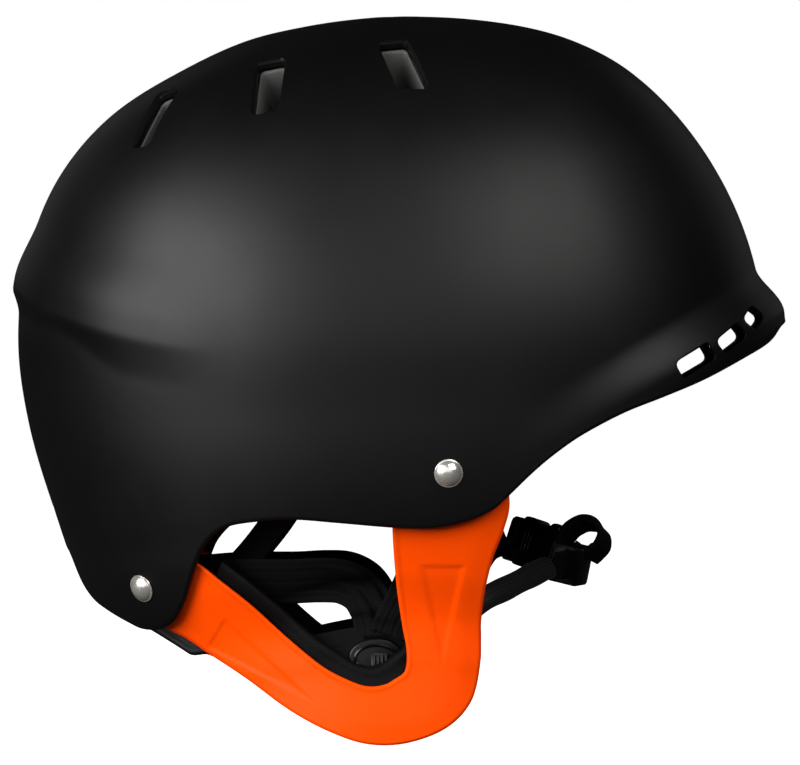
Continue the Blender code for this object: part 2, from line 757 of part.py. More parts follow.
def build_chin_straps():
    free_band("chin_strap_right", CHIN_RIGHT, 16, 4.4, 3.6, (-0.45, 0.2, 1.0), WEBBING, SWING_PIVOT)
    free_band("chin_strap_left", CHIN_LEFT, 12, 6.4, 1.6, (-0.75, 0.25, 0.6), WEBBING, SWING_PIVOT)
    free_band("chin_webbing", CHIN_WEBBING, 11, 5.5, 1.4, WEB_WIDTH_HINT, WEBBING, SWING_PIVOT)


def adjuster_frame():
    return axis_matrix(ADJUSTER_CENTRE, ADJUSTER_RUN, WEB_WIDTH_HINT)


def build_adjuster():
    frame = adjuster_frame()
    outline = rounded_rectangle(15.0, 12.4, 1.6, 2)
    origin = frame.translation
    block = prism("chin_adjuster", outline, -5.6, 5.6, frame, HARD_BLACK, origin)
    slot = as_cutter(prism("adjuster_slot_cutter", rounded_rectangle(11.9, 2.2, 0.4, 1), -9, 9, frame,
                           HARD_BLACK))
    cut(block, slot)
    build_tail(frame, origin)


# The folded tail's middle line beside the adjuster: (above, ahead) of the block's centre.
TAIL_PATH = [(9.6, -5.0), (13.6, -2.6), (17.2, 2.4), (17.4, 8.0), (13.8, 12.0), (8.0, 12.2), (2.6, 10.2),
             (0.0, 7.9)]


def build_tail(frame, origin):
    """The webbing's free end, folded over into a loop above and in front of the adjuster."""
    path = [frame @ Vector((above, ahead, 0.0)) for above, ahead in TAIL_PATH]
    free_band("strap_tail", path, 20, 5.2, 1.4, ADJUSTER_RUN.normalized(), WEBBING, origin)


def buckle_frame():
    """Origin at the plug's outer end, local X along the way the plug goes in."""
    run = (SOCKET_END - PLUG_END).normalized()
    wide = Vector((0.35, 0.0, 1.0))
    wide = (wide - run * run.dot(wide)).normalized()
    matrix = Matrix((run, wide, run.cross(wide))).transposed().to_4x4()
    matrix.translation = PLUG_END
    return matrix


PLUG_BODY = 9.6
SOCKET_START = 10.2
SOCKET_LENGTH = 24.0
SOCKET_DEPTH = 18.0


def build_buckle():
    frame = buckle_frame()
    body, half = PLUG_BODY, 8.6
    tip = SOCKET_START + SOCKET_DEPTH - 2.0
    plug_outline = [
        (0, -half + 1.5), (1.5, -half), (body, -half), (body, -6.7), (tip - 3, -6.9), (tip, -5.4),
        (tip - 1, -4.4), (body, -4.0), (body, -1.6), (tip - 4, -1.3), (tip - 4, 1.3), (body, 1.6),
        (body, 4.0), (tip - 1, 4.4), (tip, 5.4), (tip - 3, 6.9), (body, 6.7), (body, half),
        (1.5, half), (0, half - 1.5),
    ]
    plug = prism("buckle_plug", plug_outline, -1.9, 1.9, frame, HARD_BLACK, PLUG_END)
    bar_slot = frame @ Matrix.Translation((4.6, 0, 0))
    cut(plug, as_cutter(prism("plug_slot_cutter", rounded_rectangle(3.4, 13.4, 0.6, 1), -6, 6, bar_slot,
                              HARD_BLACK)))
    middle = frame @ Matrix.Translation((SOCKET_START + SOCKET_LENGTH / 2, 0, 0))
    socket = prism("buckle_socket", rounded_rectangle(SOCKET_LENGTH, 19.0, 2.4, 2), -3.9, 3.9, middle,
                   HARD_BLACK, SWING_PIVOT)
    pocket = frame @ Matrix.Translation((SOCKET_START + SOCKET_DEPTH / 2 - 1.0, 0, 0))
    windows = frame @ Matrix.Translation((SOCKET_START + 13.0, 0, 0))
    cut(socket, as_cutter(prism("socket_pocket_cutter", rounded_rectangle(SOCKET_DEPTH + 2, 14.8, 0.5, 1),
                                -2.5, 2.5, pocket, HARD_BLACK)))
    cut(socket, as_cutter(prism("socket_window_cutter", rounded_rectangle(8.0, 26.0, 0.5, 1), -1.9, 1.9,
                                windows, HARD_BLACK)))


# Nape size adjuster ----------------------------------------------------------------------------

CRADLE_CENTRE_X = -61.0
CRADLE_RADIUS = 48.5


def cradle_rows(bearing_limit, steps, inset, top_drop, bottom_rise, levels):
    rows = []
    for k in range(steps):
        bearing = bearing_limit * (2 * k / (steps - 1) - 1)
        a = math.radians(bearing)
        r = CRADLE_RADIUS - inset
        share = (bearing / 80.0) ** 2
        end = 5.0 * smoothstep(0.86, 1.0, abs(bearing) / bearing_limit)
        top = 95.0 - top_drop - 44.0 * share - end
        bottom = 50.0 + bottom_rise - 23.0 * share + end
        rows.append([
            Vector((CRADLE_CENTRE_X - r * math.cos(a), 1.03 * r * math.sin(a), top + (bottom - top) * m / levels))
            for m in range(levels + 1)
        ])
    return rows


CRADLE_ORIGIN = Vector((-110.0, 0.0, 72.0))


def build_nape():
    slab("nape_cradle", cradle_rows(80, 23, 0.0, 0, 0, 2), cradle_rows(80, 23, 2.4, 0, 0, 2), HARD_BLACK,
         CRADLE_ORIGIN)
    slab("nape_pad", cradle_rows(62, 13, 3.0, 5, 5, 2), cradle_rows(62, 13, 7.5, 6, 6, 2), PAD_BLACK,
         CRADLE_ORIGIN)
    frame = axis_matrix(DIAL_FACE, DIAL_AXIS)
    cover = [(0.0, -8.0), (11.6, -8.0), (12.6, -8.6), (12.6, -10.4), (6.0, -11.5), (0.0, -11.5)]
    lathe("dial_cover", cover, frame, HARD_BLACK, CRADLE_ORIGIN, 20)
    build_dial(frame)
    for side, word in ((1, "left"), (-1, "right")):
        build_arm("cradle_arm_" + word, side)


def build_dial(frame):
    """A knob with twelve finger lobes round its rim."""
    segments = 48
    points, faces = [], []
    levels = [(0.92, 0.0), (1.0, -1.2), (1.0, -6.6), (0.9, -7.6)]
    for scale, height in levels:
        for k in range(segments):
            a = 2 * math.pi * k / segments
            radius = (10.6 + 0.5 * math.cos(12 * a)) * scale
            points.append(frame @ Vector((radius * math.cos(a), radius * math.sin(a), height)))
    faces += grid_faces(len(levels), segments, 0, True, False)
    faces.append(list(range(segments)))
    faces.append([3 * segments + k for k in range(segments)][::-1])
    mesh_object("size_dial", points, faces, HARD_BLACK, DIAL_FACE)


# Middle line of each arm in side view: (x, z, inset), from the shell down to the cradle's end.
CRADLE_ARM = [
    (-37, 99.5, 12), (-40.5, 91, 15), (-45.5, 82.5, 19.5), (-51, 75, 22.5), (-57, 68, 24.5),
    (-64, 61, 25.5), (-71.5, 54.5, 25.5),
]


def build_arm(name, side):
    """A flexible arm from the liner's lower edge down to the cradle's end."""
    stations = 13
    points = spline(CRADLE_ARM, stations)
    path = [side_point(p.x, p.y, side, p.z) for p in points]
    free_band(name, path, stations, 5.2, 1.6, (0.75, 0.0, -0.65), HARD_BLACK, CRADLE_ORIGIN)


build_shell()
build_liner()
build_pads()
build_ear_guards()
build_rivets()
build_side_straps()
build_dividers()
build_chin_straps()
build_adjuster()
build_buckle()
build_nape()
bpy.context.view_layer.update()
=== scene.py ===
"""Photographic model of the water helmet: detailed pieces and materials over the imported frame.

Lengths in this script are millimetres unless said otherwise, with heights counted from the lowest
point of the ear guards; world() turns them into the frame's metres.
"""

import math

import bmesh
import bpy
import numpy as np
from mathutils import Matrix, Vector
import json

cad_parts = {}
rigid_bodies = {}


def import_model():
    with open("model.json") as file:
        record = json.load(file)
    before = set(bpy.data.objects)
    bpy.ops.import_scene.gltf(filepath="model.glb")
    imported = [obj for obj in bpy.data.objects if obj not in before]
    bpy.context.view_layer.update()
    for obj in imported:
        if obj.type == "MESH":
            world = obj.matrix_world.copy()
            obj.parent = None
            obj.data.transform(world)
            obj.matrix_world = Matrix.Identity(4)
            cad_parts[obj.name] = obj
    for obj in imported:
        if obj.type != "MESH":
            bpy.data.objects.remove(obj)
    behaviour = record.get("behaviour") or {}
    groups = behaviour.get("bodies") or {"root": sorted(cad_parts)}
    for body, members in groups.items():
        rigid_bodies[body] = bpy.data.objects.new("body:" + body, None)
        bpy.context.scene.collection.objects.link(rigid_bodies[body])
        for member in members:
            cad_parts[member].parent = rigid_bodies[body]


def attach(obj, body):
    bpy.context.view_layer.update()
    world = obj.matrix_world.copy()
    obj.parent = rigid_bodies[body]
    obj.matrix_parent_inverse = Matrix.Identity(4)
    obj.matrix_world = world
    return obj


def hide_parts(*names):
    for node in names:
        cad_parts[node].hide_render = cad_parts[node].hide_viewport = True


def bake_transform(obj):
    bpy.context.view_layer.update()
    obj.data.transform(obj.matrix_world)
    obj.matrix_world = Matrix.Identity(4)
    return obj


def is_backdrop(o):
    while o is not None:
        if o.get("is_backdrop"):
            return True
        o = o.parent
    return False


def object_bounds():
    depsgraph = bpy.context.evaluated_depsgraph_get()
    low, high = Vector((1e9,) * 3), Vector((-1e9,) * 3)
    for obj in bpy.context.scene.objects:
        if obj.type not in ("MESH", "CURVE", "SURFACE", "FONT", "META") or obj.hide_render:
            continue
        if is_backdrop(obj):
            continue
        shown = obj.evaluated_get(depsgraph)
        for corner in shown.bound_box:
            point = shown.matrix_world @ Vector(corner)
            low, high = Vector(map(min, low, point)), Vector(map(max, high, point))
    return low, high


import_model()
cad_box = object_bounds()

SEAT_HEIGHT = 240.0
CENTRE = np.array([-4.0, 0.0, 150.0])
SHELL_THICKNESS = 3.0
LINER_GAP = 1.1
LINER_THICKNESS = 15.0
PLAN_ROUNDNESS = 2.2
WEB_THICKNESS = 1.3

FRONT_RADII = [
    (0, 121.6), (7, 122.5), (14, 124.4), (20, 126.7), (32, 132.2), (42, 135.6), (65, 138.8),
    (80, 140.6), (95, 142), (155, 150),
]
REAR_RADII = [
    (0, 121.6), (7, 121.3), (16, 122.2), (24, 124.2), (38, 127.9), (53, 135.1), (65, 138.8), (78, 139.8),
    (90, 139.8), (103, 139.4), (115, 140.9), (123.5, 145.0), (128, 149.5), (134, 154.0), (140, 157.0),
    (155, 163.0),
]
SIDE_RADII = [
    (0, 121.6), (10, 121.2), (25, 119.3), (45, 114.5), (67, 109.5), (90, 108), (105, 110), (125, 121),
    (133, 127.5), (140, 136), (145, 153), (149, 174), (155, 206),
]
RIM_OUTLINE = [
    (150, 158), (143.6, 154.6), (138.2, 148.2), (128.2, 142.2), (113.2, 134.3), (98.4, 128.2),
    (83.8, 122.6), (69.4, 115.2), (59.8, 108.8), (50.6, 101.3), (40.2, 91.3), (35, 86.9), (28.3, 83.5),
    (19.2, 80.9), (10.2, 79.8), (-3.3, 80.4), (-22, 82), (-38, 83.2), (-52, 82.4), (-63.8, 80),
    (-71.2, 73.4), (-74.5, 66.3), (-76.9, 59), (-79.3, 52), (-83, 45.5), (-88.6, 42), (-95, 41.8),
    (-101, 44.3), (-108, 48), (-114, 52.2), (-119, 59), (-124, 70),
]
NAPE_NOTCH_TOP = 86.5
NAPE_NOTCH_HALF_WIDTH = 12.0
NAPE_ARCH_RUN = 12.0
NAPE_ARCH_FALL = 52.0
BRIM_LINE_HEIGHT = 90.0
BRIM_LINE_SLOPE = 0.59
BRIM_FLARE = 8.0
RIDGE_HEIGHT = 3.2
FRONT_RIVET = (18.7, 100.7)
REAR_RIVET = (-94.7, 57.8)


def world(points):
    return (np.asarray(points, float) - (0.0, 0.0, SEAT_HEIGHT)) * 0.001


def smoothstep(low, high, value):
    t = np.clip((np.asarray(value, float) - low) / (high - low), 0.0, 1.0)
    return t * t * (3 - 2 * t)


def lookup(table, key):
    """Smooth curve through (key, value) pairs: a cubic with Catmull-Rom slopes."""
    keys, values = np.array(table, float).T
    last = len(keys) - 1
    i = np.clip(np.searchsorted(keys, key, side="left") - 1, 0, last - 1)
    before, after = np.maximum(i - 1, 0), np.minimum(i + 2, last)
    k0, k1, v0, v1 = keys[i], keys[i + 1], values[i], values[i + 1]
    slope0 = (v1 - values[before]) / (k1 - keys[before])
    slope1 = (values[after] - v0) / (keys[after] - k0)
    t = np.clip((key - k0) / (k1 - k0), 0.0, 1.0)
    h01 = 3 * t**2 - 2 * t**3
    rise = (t**3 - 2 * t**2 + t) * slope0 + (t**3 - t**2) * slope1
    return (1 - h01) * v0 + h01 * v1 + rise * (k1 - k0)


def spline(points, count):
    """count points spread evenly by index along a Catmull-Rom curve through the given points."""
    rows = np.array(points, float)
    last = len(rows) - 1
    s = np.linspace(0.0, last, count)
    i = np.minimum(s.astype(int), last - 1)
    t = (s - i)[:, None]
    a, b = rows[np.maximum(0, i - 1)], rows[i]
    c, d = rows[i + 1], rows[np.minimum(last, i + 2)]
    return 0.5 * (2 * b + (c - a) * t + (2 * a - 5 * b + 4 * c - d) * t**2
                  + (3 * b - a - 3 * c + d) * t**3)


def unit(v):
    return v / np.maximum(np.linalg.norm(v, axis=-1, keepdims=True), 1e-9)


def run_length(path):
    """How far along its polyline each point lies."""
    return np.concatenate([[0.0], np.cumsum(np.linalg.norm(np.diff(path, axis=0), axis=1))])


def headings(path):
    """The direction from each point to the next, the last one repeated."""
    return unit(np.vstack([path[1:] - path[:-1], path[-1:] - path[-2:-1]]))


# The shell's surface


def direction(tilt, turn):
    a, b = np.radians(tilt), np.radians(turn)
    return np.stack([np.sin(a) * np.cos(b), np.sin(a) * np.sin(b), np.cos(a) + 0 * b], -1)


def brim_flare(x, z):
    line = BRIM_LINE_HEIGHT + (x - 40.0) * BRIM_LINE_SLOPE
    height = (z - line) / math.hypot(1.0, BRIM_LINE_SLOPE)
    rolled = 1.0 - 0.25 * smoothstep(8.0, 0.0, height)
    return BRIM_FLARE * smoothstep(35.0, 140.0, x) * rolled * smoothstep(27.0, 11.0, height)


def rear_ridge(x, z):
    back = np.clip((-64.0 - x) / 80.0, 0.0, 1.0)
    above = z - (144.5 + 19.5 * back**1.6)
    crest = 0.6 + 4.0 * smoothstep(-132.0, -142.0, x)
    foot = 4.0 + 10.0 * smoothstep(-128.0, -98.0, x)
    climbs = [np.clip((above + blur + foot) / (foot + crest), 0.0, 1.0) ** 1.5 for blur in (-0.8, 0.0, 0.8)]
    rise = sum(climbs) / 3 * smoothstep(34.0, 9.0, above)
    return RIDGE_HEIGHT * smoothstep(-58.0, -118.0, x) * rise


def shell_radius(tilt, turn, detailed=True):
    cos_turn = np.cos(np.radians(turn))
    sin_turn = np.abs(np.sin(np.radians(turn)))
    fore_aft = np.where(cos_turn > 0, lookup(FRONT_RADII, tilt), lookup(REAR_RADII, tilt))
    side = lookup(SIDE_RADII, tilt)
    n = 2.0 + (PLAN_ROUNDNESS - 2.0) * smoothstep(10.0, 60.0, tilt)
    base = ((np.abs(cos_turn) / fore_aft) ** n + (sin_turn / side) ** n) ** (-1 / n)
    if not detailed:
        return base
    point = CENTRE + direction(tilt, turn) * base[..., None]
    return base + brim_flare(point[..., 0], point[..., 2]) + rear_ridge(point[..., 0], point[..., 2])


def shell_normal(tilt, turn, detailed=True):
    step = 0.5
    tilt = np.maximum(tilt, 1.5)
    around = [direction(a, b) * shell_radius(a, b, detailed)[..., None]
              for a, b in ((tilt + step, turn), (tilt - step, turn), (tilt, turn + step), (tilt, turn - step))]
    return unit(np.cross(around[0] - around[1], around[2] - around[3]))


def shell_point(tilt, turn, inset=0.0):
    """Points on the shell's outer surface, or that far inside it, square to the surface."""
    tilt, turn = np.broadcast_arrays(np.asarray(tilt, float), np.asarray(turn, float))
    detailed = np.max(inset) <= SHELL_THICKNESS
    point = CENTRE + direction(tilt, turn) * shell_radius(tilt, turn, detailed)[..., None]
    inset = np.asarray(inset, float)
    return point - shell_normal(tilt, turn, detailed) * inset[..., None]


def angles_of(point):
    ray = point - CENTRE
    length = np.linalg.norm(ray, axis=-1)
    tilt = np.degrees(np.arccos(np.clip(ray[..., 2] / length, -1.0, 1.0)))
    return tilt, np.degrees(np.arctan2(ray[..., 1], ray[..., 0])), length


def side_point(x, z, side, inset=0.0):
    """The points with this x and z on the left (side 1) or right (side -1), inset from the shell."""
    x, z, inset = np.broadcast_arrays(*(np.asarray(v, float) for v in (x, z, inset)))
    detailed = float(np.max(inset)) <= SHELL_THICKNESS
    low, high = np.full(x.shape, 2.0), np.full(x.shape, 150.0)
    for _ in range(24):
        y = (low + high) / 2
        point = np.stack([x, y, z], -1)
        tilt, turn, length = angles_of(point)
        normal = shell_normal(tilt, turn, detailed)
        slant = (unit(point - CENTRE) * normal).sum(-1)
        inside = (shell_radius(tilt, turn, detailed) - length) * slant > inset
        low, high = np.where(inside, y, low), np.where(inside, high, y)
    return np.stack([x, side * low, z], -1)


def side_normal(x, z, side):
    tilt, turn, _ = angles_of(side_point(x, z, 1))
    return shell_normal(tilt, turn) * (1.0, side, 1.0)


# Mesh helpers


def grid_faces(rows, columns, start=0, wrap=False):
    faces = []
    for i in range(rows - 1):
        for j in range(columns if wrap else columns - 1):
            k = (j + 1) % columns
            faces.append((start + i * columns + j, start + (i + 1) * columns + j,
                          start + (i + 1) * columns + k, start + i * columns + k))
    return faces


def finish_mesh(name, bm, mat, sharp=40.0):
    bmesh.ops.recalc_face_normals(bm, faces=bm.faces)
    mesh = bpy.data.meshes.new(name)
    bm.to_mesh(mesh)
    bm.free()
    mesh.shade_smooth()
    if sharp:
        mesh.set_sharp_from_angle(angle=math.radians(sharp))
    obj = bpy.data.objects.new(name, mesh)
    bpy.context.scene.collection.objects.link(obj)
    if mat:
        mesh.materials.append(mat)
    return obj


def from_points(name, points, faces, mat, sharp=40.0, uvs=None):
    """A mesh object from millimetre points; uvs holds one pair of coordinates per point."""
    bm = bmesh.new()
    vertices = [bm.verts.new(p) for p in world(points)]
    for face in faces:
        bm.faces.new([vertices[i] for i in face])
    if uvs is not None:
        layer = bm.loops.layers.uv.new("UVMap")
        bm.verts.index_update()
        for face in bm.faces:
            for loop in face.loops:
                loop[layer].uv = uvs[loop.vert.index]
    return finish_mesh(name, bm, mat, sharp)


def tube_grid(name, grid, mat, sharp=40.0, uvs=None):
    """A closed solid from rings of points (stations, around, 3), its two ends filled."""
    grid = np.asarray(grid)
    stations, around = grid.shape[:2]
    faces = grid_faces(stations, around, 0, True)
    faces.append(tuple(range(around)))
    faces.append(tuple(range((stations - 1) * around, stations * around))[::-1])
    flat_uvs = None if uvs is None else np.asarray(uvs).reshape(-1, 2)
    return from_points(name, grid.reshape(-1, 3), faces, mat, sharp, flat_uvs)


def dome(name, rings, top, under, mat):
    """A shell from rings of points that run from its crown, over the rim and back up inside."""
    columns = rings.shape[1]
    count = len(rings) * columns
    points = np.vstack([rings.reshape(-1, 3), top[None], under[None]])
    faces = grid_faces(len(rings), columns, 0, True)
    for j in range(columns):
        k = (j + 1) % columns
        faces.append((count, j, k))
        faces.append((count + 1, count - columns + k, count - columns + j))
    return from_points(name, points, faces, mat, 0)


def fit(piece, node, body="helmet"):
    """The piece stands for a CAD node and moves with a body."""
    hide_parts(node)
    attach(piece, body)


def modifier(obj, kind, **values):
    made = obj.modifiers.new(kind.lower(), kind)
    for key, value in values.items():
        setattr(made, key, value)
    return made


def apply_modifiers(obj):
    graph = bpy.context.evaluated_depsgraph_get()
    mesh = bpy.data.meshes.new_from_object(obj.evaluated_get(graph))
    obj.modifiers.clear()
    obj.data = mesh


def cut(target, cutters):
    """Cuts the meshes away from the target, then removes them."""
    for cutter in cutters:
        modifier(target, "BOOLEAN", operation="DIFFERENCE", solver="MANIFOLD", object=cutter)
    apply_modifiers(target)
    for cutter in cutters:
        bpy.data.objects.remove(cutter, do_unlink=True)
    target.data.shade_smooth()
    target.data.set_sharp_from_angle(angle=math.radians(32))


def loft(name, outline, levels, place):
    """A cutter: an outline (n, 2) grown and placed at each level (growth, depth) by place()."""
    outline = np.asarray(outline, float)
    ahead, behind = np.roll(outline, -1, 0), np.roll(outline, 1, 0)
    run = unit(ahead - behind)
    outward = np.stack([run[:, 1], -run[:, 0]], -1)
    centre = outline.mean(0)
    if ((outline - centre) * outward).sum() < 0:
        outward = -outward
    rings = [place(outline + outward * growth, depth) for growth, depth in levels]
    return tube_grid(name, rings, None)


def rounded_rectangle(length, width, radius, steps=6):
    outline = []
    for corner in range(4):
        cx = (length / 2 - radius) * (1 if corner in (0, 3) else -1)
        cy = (width / 2 - radius) * (1 if corner < 2 else -1)
        for k in range(steps + 1):
            a = math.pi / 2 * (corner + k / steps)
            outline.append((cx + radius * math.cos(a), cy + radius * math.sin(a)))
    return np.array(outline)


def axis_matrix(origin, axis, hint=(0.0, 0.0, 1.0)):
    """Millimetre frame (4x4 array) whose local Z is the axis; local X leans towards the hint."""
    z = unit(np.asarray(axis, float))
    x = np.asarray(hint, float)
    x = unit(x - z * (x @ z))
    matrix = np.eye(4)
    matrix[:3, 0], matrix[:3, 1], matrix[:3, 2], matrix[:3, 3] = x, np.cross(z, x), z, origin
    return matrix


def through(matrix, points):
    points = np.asarray(points, float)
    return points @ matrix[:3, :3].T + matrix[:3, 3]


def resample(path, count):
    """count points at even distances along a polyline."""
    at = run_length(path)
    wanted = np.linspace(0.0, at[-1], count)
    return np.stack([np.interp(wanted, at, path[:, k]) for k in range(path.shape[1])], -1)


def strap(name, path, half_width, thickness, wide, mat, rib=0.0, rib_count=4):
    """Webbing swept along a path: wide leans towards the direction of its width.

    The faces carry shallow ribs along their length, the edges are rounded, and the UV map holds
    millimetres along and across.
    """
    run = unit(np.vstack([path[1:], path[-1:]]) - np.vstack([path[:1], path[:-1]]))
    wide = np.broadcast_to(np.asarray(wide, float), path.shape)
    wide = unit(wide - run * (wide * run).sum(-1, keepdims=True))
    thin = np.cross(run, wide)
    across = np.linspace(-1.0, 1.0, 25)
    edge = np.sqrt(np.maximum(0.0, 1 - np.maximum(0.0, (np.abs(across) - 0.88) / 0.12) ** 2))
    depth = rib * (0.5 + 0.5 * np.cos(math.pi * rib_count * (across + 1)))
    lift = thickness / 2 * (0.35 + 0.65 * edge) - depth
    lift = np.concatenate([lift, -lift[::-1]])
    around = np.concatenate([across, across[::-1]]) * half_width
    rings = path[:, None] + wide[:, None] * around[None, :, None] + thin[:, None] * lift[None, :, None]
    uvs = np.stack(np.broadcast_arrays(run_length(path)[:, None], around[None, :]), -1)
    return tube_grid(name, rings, mat, 50.0, uvs)


def lathe(name, profile, matrix, mat, segments=64, sharp=40.0):
    """A turned solid from (radius, height) pairs, the first and last on the axis."""
    a = np.linspace(0, 2 * math.pi, segments, endpoint=False)
    points = [[0, 0, profile[0][1]]]
    for radius, height in profile[1:-1]:
        points += [[radius * math.cos(t), radius * math.sin(t), height] for t in a]
    points.append([0, 0, profile[-1][1]])
    rings = len(profile) - 2
    last = len(points) - 1
    faces = grid_faces(rings, segments, 1, True)
    for k in range(segments):
        m = (k + 1) % segments
        faces.append((0, 1 + k, 1 + m))
        faces.append((last, 1 + (rings - 1) * segments + m, 1 + (rings - 1) * segments + k))
    return from_points(name, through(matrix, points), faces, mat, sharp)


def extrude(name, outline, low, high, matrix, mat, bevel=0.0, segments=3):
    """An outline in local X and Y, extruded along local Z, with rounded edges."""
    n = len(outline)
    flat = np.asarray(outline, float)
    points = np.vstack([np.c_[flat, np.full(n, low)], np.c_[flat, np.full(n, high)]])
    faces = [tuple(range(n))[::-1], tuple(range(n, 2 * n))]
    faces += [(i, (i + 1) % n, n + (i + 1) % n, n + i) for i in range(n)]
    obj = from_points(name, through(matrix, points), faces, mat, 0)
    if bevel:
        modifier(obj, "BEVEL", width=bevel / 1000, segments=segments, limit_method="ANGLE",
                 angle_limit=math.radians(40), harden_normals=True)
        apply_modifiers(obj)
    obj.data.shade_smooth()
    obj.data.set_sharp_from_angle(angle=math.radians(45))
    return obj


def joined(name, pieces):
    """Several meshes in one object, keeping their materials."""
    bm = bmesh.new()
    mats = []
    for piece in pieces:
        start = len(bm.faces)
        bm.from_mesh(piece.data)
        bm.faces.ensure_lookup_table()
        own = piece.data.materials[0] if piece.data.materials else None
        if own not in mats:
            mats.append(own)
        for face in bm.faces[start:]:
            face.material_index = mats.index(own)
        bpy.data.objects.remove(piece, do_unlink=True)
    mesh = bpy.data.meshes.new(name)
    bm.to_mesh(mesh)
    bm.free()
    for own in mats:
        mesh.materials.append(own)
    obj = bpy.data.objects.new(name, mesh)
    bpy.context.scene.collection.objects.link(obj)
    return obj


# Materials


class Nodes:
    """Short names for building a material's node tree."""

    def __init__(self, name, colour, roughness, metallic=0.0, specular=0.5, sheen=0.0, sheen_roughness=0.5):
        self.mat = bpy.data.materials.new(name)
        self.mat.use_nodes = True
        self.tree = self.mat.node_tree
        self.shader = self.tree.nodes["Principled BSDF"]
        self.fill(self.shader, {"Base Color": (*colour, 1.0), "Roughness": roughness, "Metallic": metallic,
                                "Specular IOR Level": specular, "Sheen Weight": sheen,
                                "Sheen Roughness": sheen_roughness})
        self.mat.diffuse_color = (*colour, 1.0)
        self.colour = colour

    def fill(self, node, values):
        for key, value in values.items():
            node.inputs[key].default_value = value

    def node(self, kind, values=None, **settings):
        made = self.tree.nodes.new("ShaderNode" + kind)
        for key, value in settings.items():
            setattr(made, key, value)
        self.fill(made, values or {})
        return made

    def link(self, source, target):
        self.tree.links.new(source, target)

    def place(self, scale=(1.0, 1.0, 1.0), uv=False):
        coords = self.node("TexCoord")
        mapping = self.node("Mapping", {"Scale": scale})
        self.link(coords.outputs["UV" if uv else "Object"], mapping.inputs["Vector"])
        return mapping.outputs["Vector"]

    def noise(self, scale, detail=3.0, roughness=0.5, where=None):
        made = self.node("TexNoise", {"Scale": scale, "Detail": detail, "Roughness": roughness})
        self.link(where or self.place(), made.inputs["Vector"])
        return made.outputs["Fac"]

    def ramp(self, source, low, high, a, b):
        """Maps source between low and high to values a to b, held outside."""
        made = self.node("MapRange", {"From Min": low, "From Max": high, "To Min": a, "To Max": b})
        self.link(source, made.inputs["Value"])
        return made.outputs["Result"]

    def math(self, operation, a, b=0.0):
        made = self.node("Math", operation=operation)
        for value, socket in ((a, made.inputs[0]), (b, made.inputs[1])):
            if isinstance(value, (int, float)):
                socket.default_value = value
            else:
                self.link(value, socket)
        return made.outputs[0]

    def colours(self, factor, dark, light):
        made = self.node("Mix", {6: (*dark, 1.0), 7: (*light, 1.0)}, data_type="RGBA")
        self.link(factor, made.inputs[0])
        self.link(made.outputs[2], self.shader.inputs["Base Color"])

    def tint(self, factor, dark, light):
        """The material's own colour, scaled between dark and light."""
        scaled = [tuple(min(1.0, c * scale) for c in self.colour) for scale in (dark, light)]
        self.colours(factor, *scaled)

    def rough(self, source):
        self.link(source, self.shader.inputs["Roughness"])

    def bump(self, height, distance, strength):
        made = self.node("Bump", {"Distance": distance, "Strength": strength})
        self.link(height, made.inputs["Height"])
        self.link(made.outputs["Normal"], self.shader.inputs["Normal"])


def moulded(name, colour, roughness, grain=0.00003, specular=0.5, spread=0.06, size=2600.0):
    """Moulded plastic: fine grain, slight mottling and soft handling marks."""
    n = Nodes(name, colour, roughness, specular=specular)
    fine = n.noise(size, 2.0)
    broad = n.noise(38.0, 4.0, 0.6)
    marks = n.noise(420.0, 3.0, 0.65)
    n.rough(n.math("ADD", n.ramp(broad, 0.3, 0.7, roughness - spread, roughness + spread),
                   n.ramp(marks, 0.62, 0.75, 0.0, 0.05)))
    n.tint(n.ramp(broad, 0.25, 0.75, 0.0, 1.0), 0.94, 1.06)
    n.bump(fine, grain, 0.6)
    return n.mat


def woven(name, colour, roughness, pitch, weft, depth, sheen=0.3):
    """Webbing: ribs along the strap and picks across it, from the strap's own UV in millimetres, with painted
    shade in the weave's hollows and painted highlight on its ribs.
    """
    n = Nodes(name, colour, roughness, specular=0.12, sheen=sheen, sheen_roughness=0.4)
    where = n.place(uv=True)
    split = n.node("SeparateXYZ")
    n.link(where, split.inputs[0])
    ribs = n.math("ABSOLUTE", n.math("SINE", n.math("MULTIPLY", split.outputs[1], math.pi / pitch)))
    phase = n.math("MULTIPLY", n.math("FLOOR", n.math("DIVIDE", split.outputs[1], pitch)), math.pi)
    picks = n.math("SINE", n.math("ADD", n.math("MULTIPLY", split.outputs[0], 2 * math.pi / weft), phase))
    fuzz = n.noise(3200.0, 2.0)
    weave = n.math("MULTIPLY", ribs, n.math("ADD", n.math("MULTIPLY", picks, 0.35), 0.65))
    height = n.math("ADD", weave, n.math("MULTIPLY", fuzz, 0.25))
    # Painted shade and highlight: the colour darkens in the weave's low hollows and lightens on the raised
    # ribs, following the bump height.
    n.tint(n.ramp(height, 0.2, 1.1, 0.0, 1.0), 0.35, 1.5)
    n.bump(height, depth, 0.8)
    return n.mat


def cloth(name, colour, pitch, depth, sheen=0.4):
    """Knitted lining cloth: tiny loops in rows, with lint."""
    n = Nodes(name, colour, 0.9, specular=0.2, sheen=sheen)
    loops = n.node("TexVoronoi", {"Scale": 1.0 / pitch}, feature="SMOOTH_F1")
    n.link(n.place((1.0, 1.6, 1.0)), loops.inputs["Vector"])
    lint = n.noise(900.0, 4.0, 0.7)
    height = n.math("ADD", loops.outputs["Distance"], n.math("MULTIPLY", lint, 0.4))
    n.tint(n.ramp(lint, 0.3, 0.75, 0.0, 1.0), 0.7, 1.7)
    n.bump(height, depth, 0.7)
    return n.mat


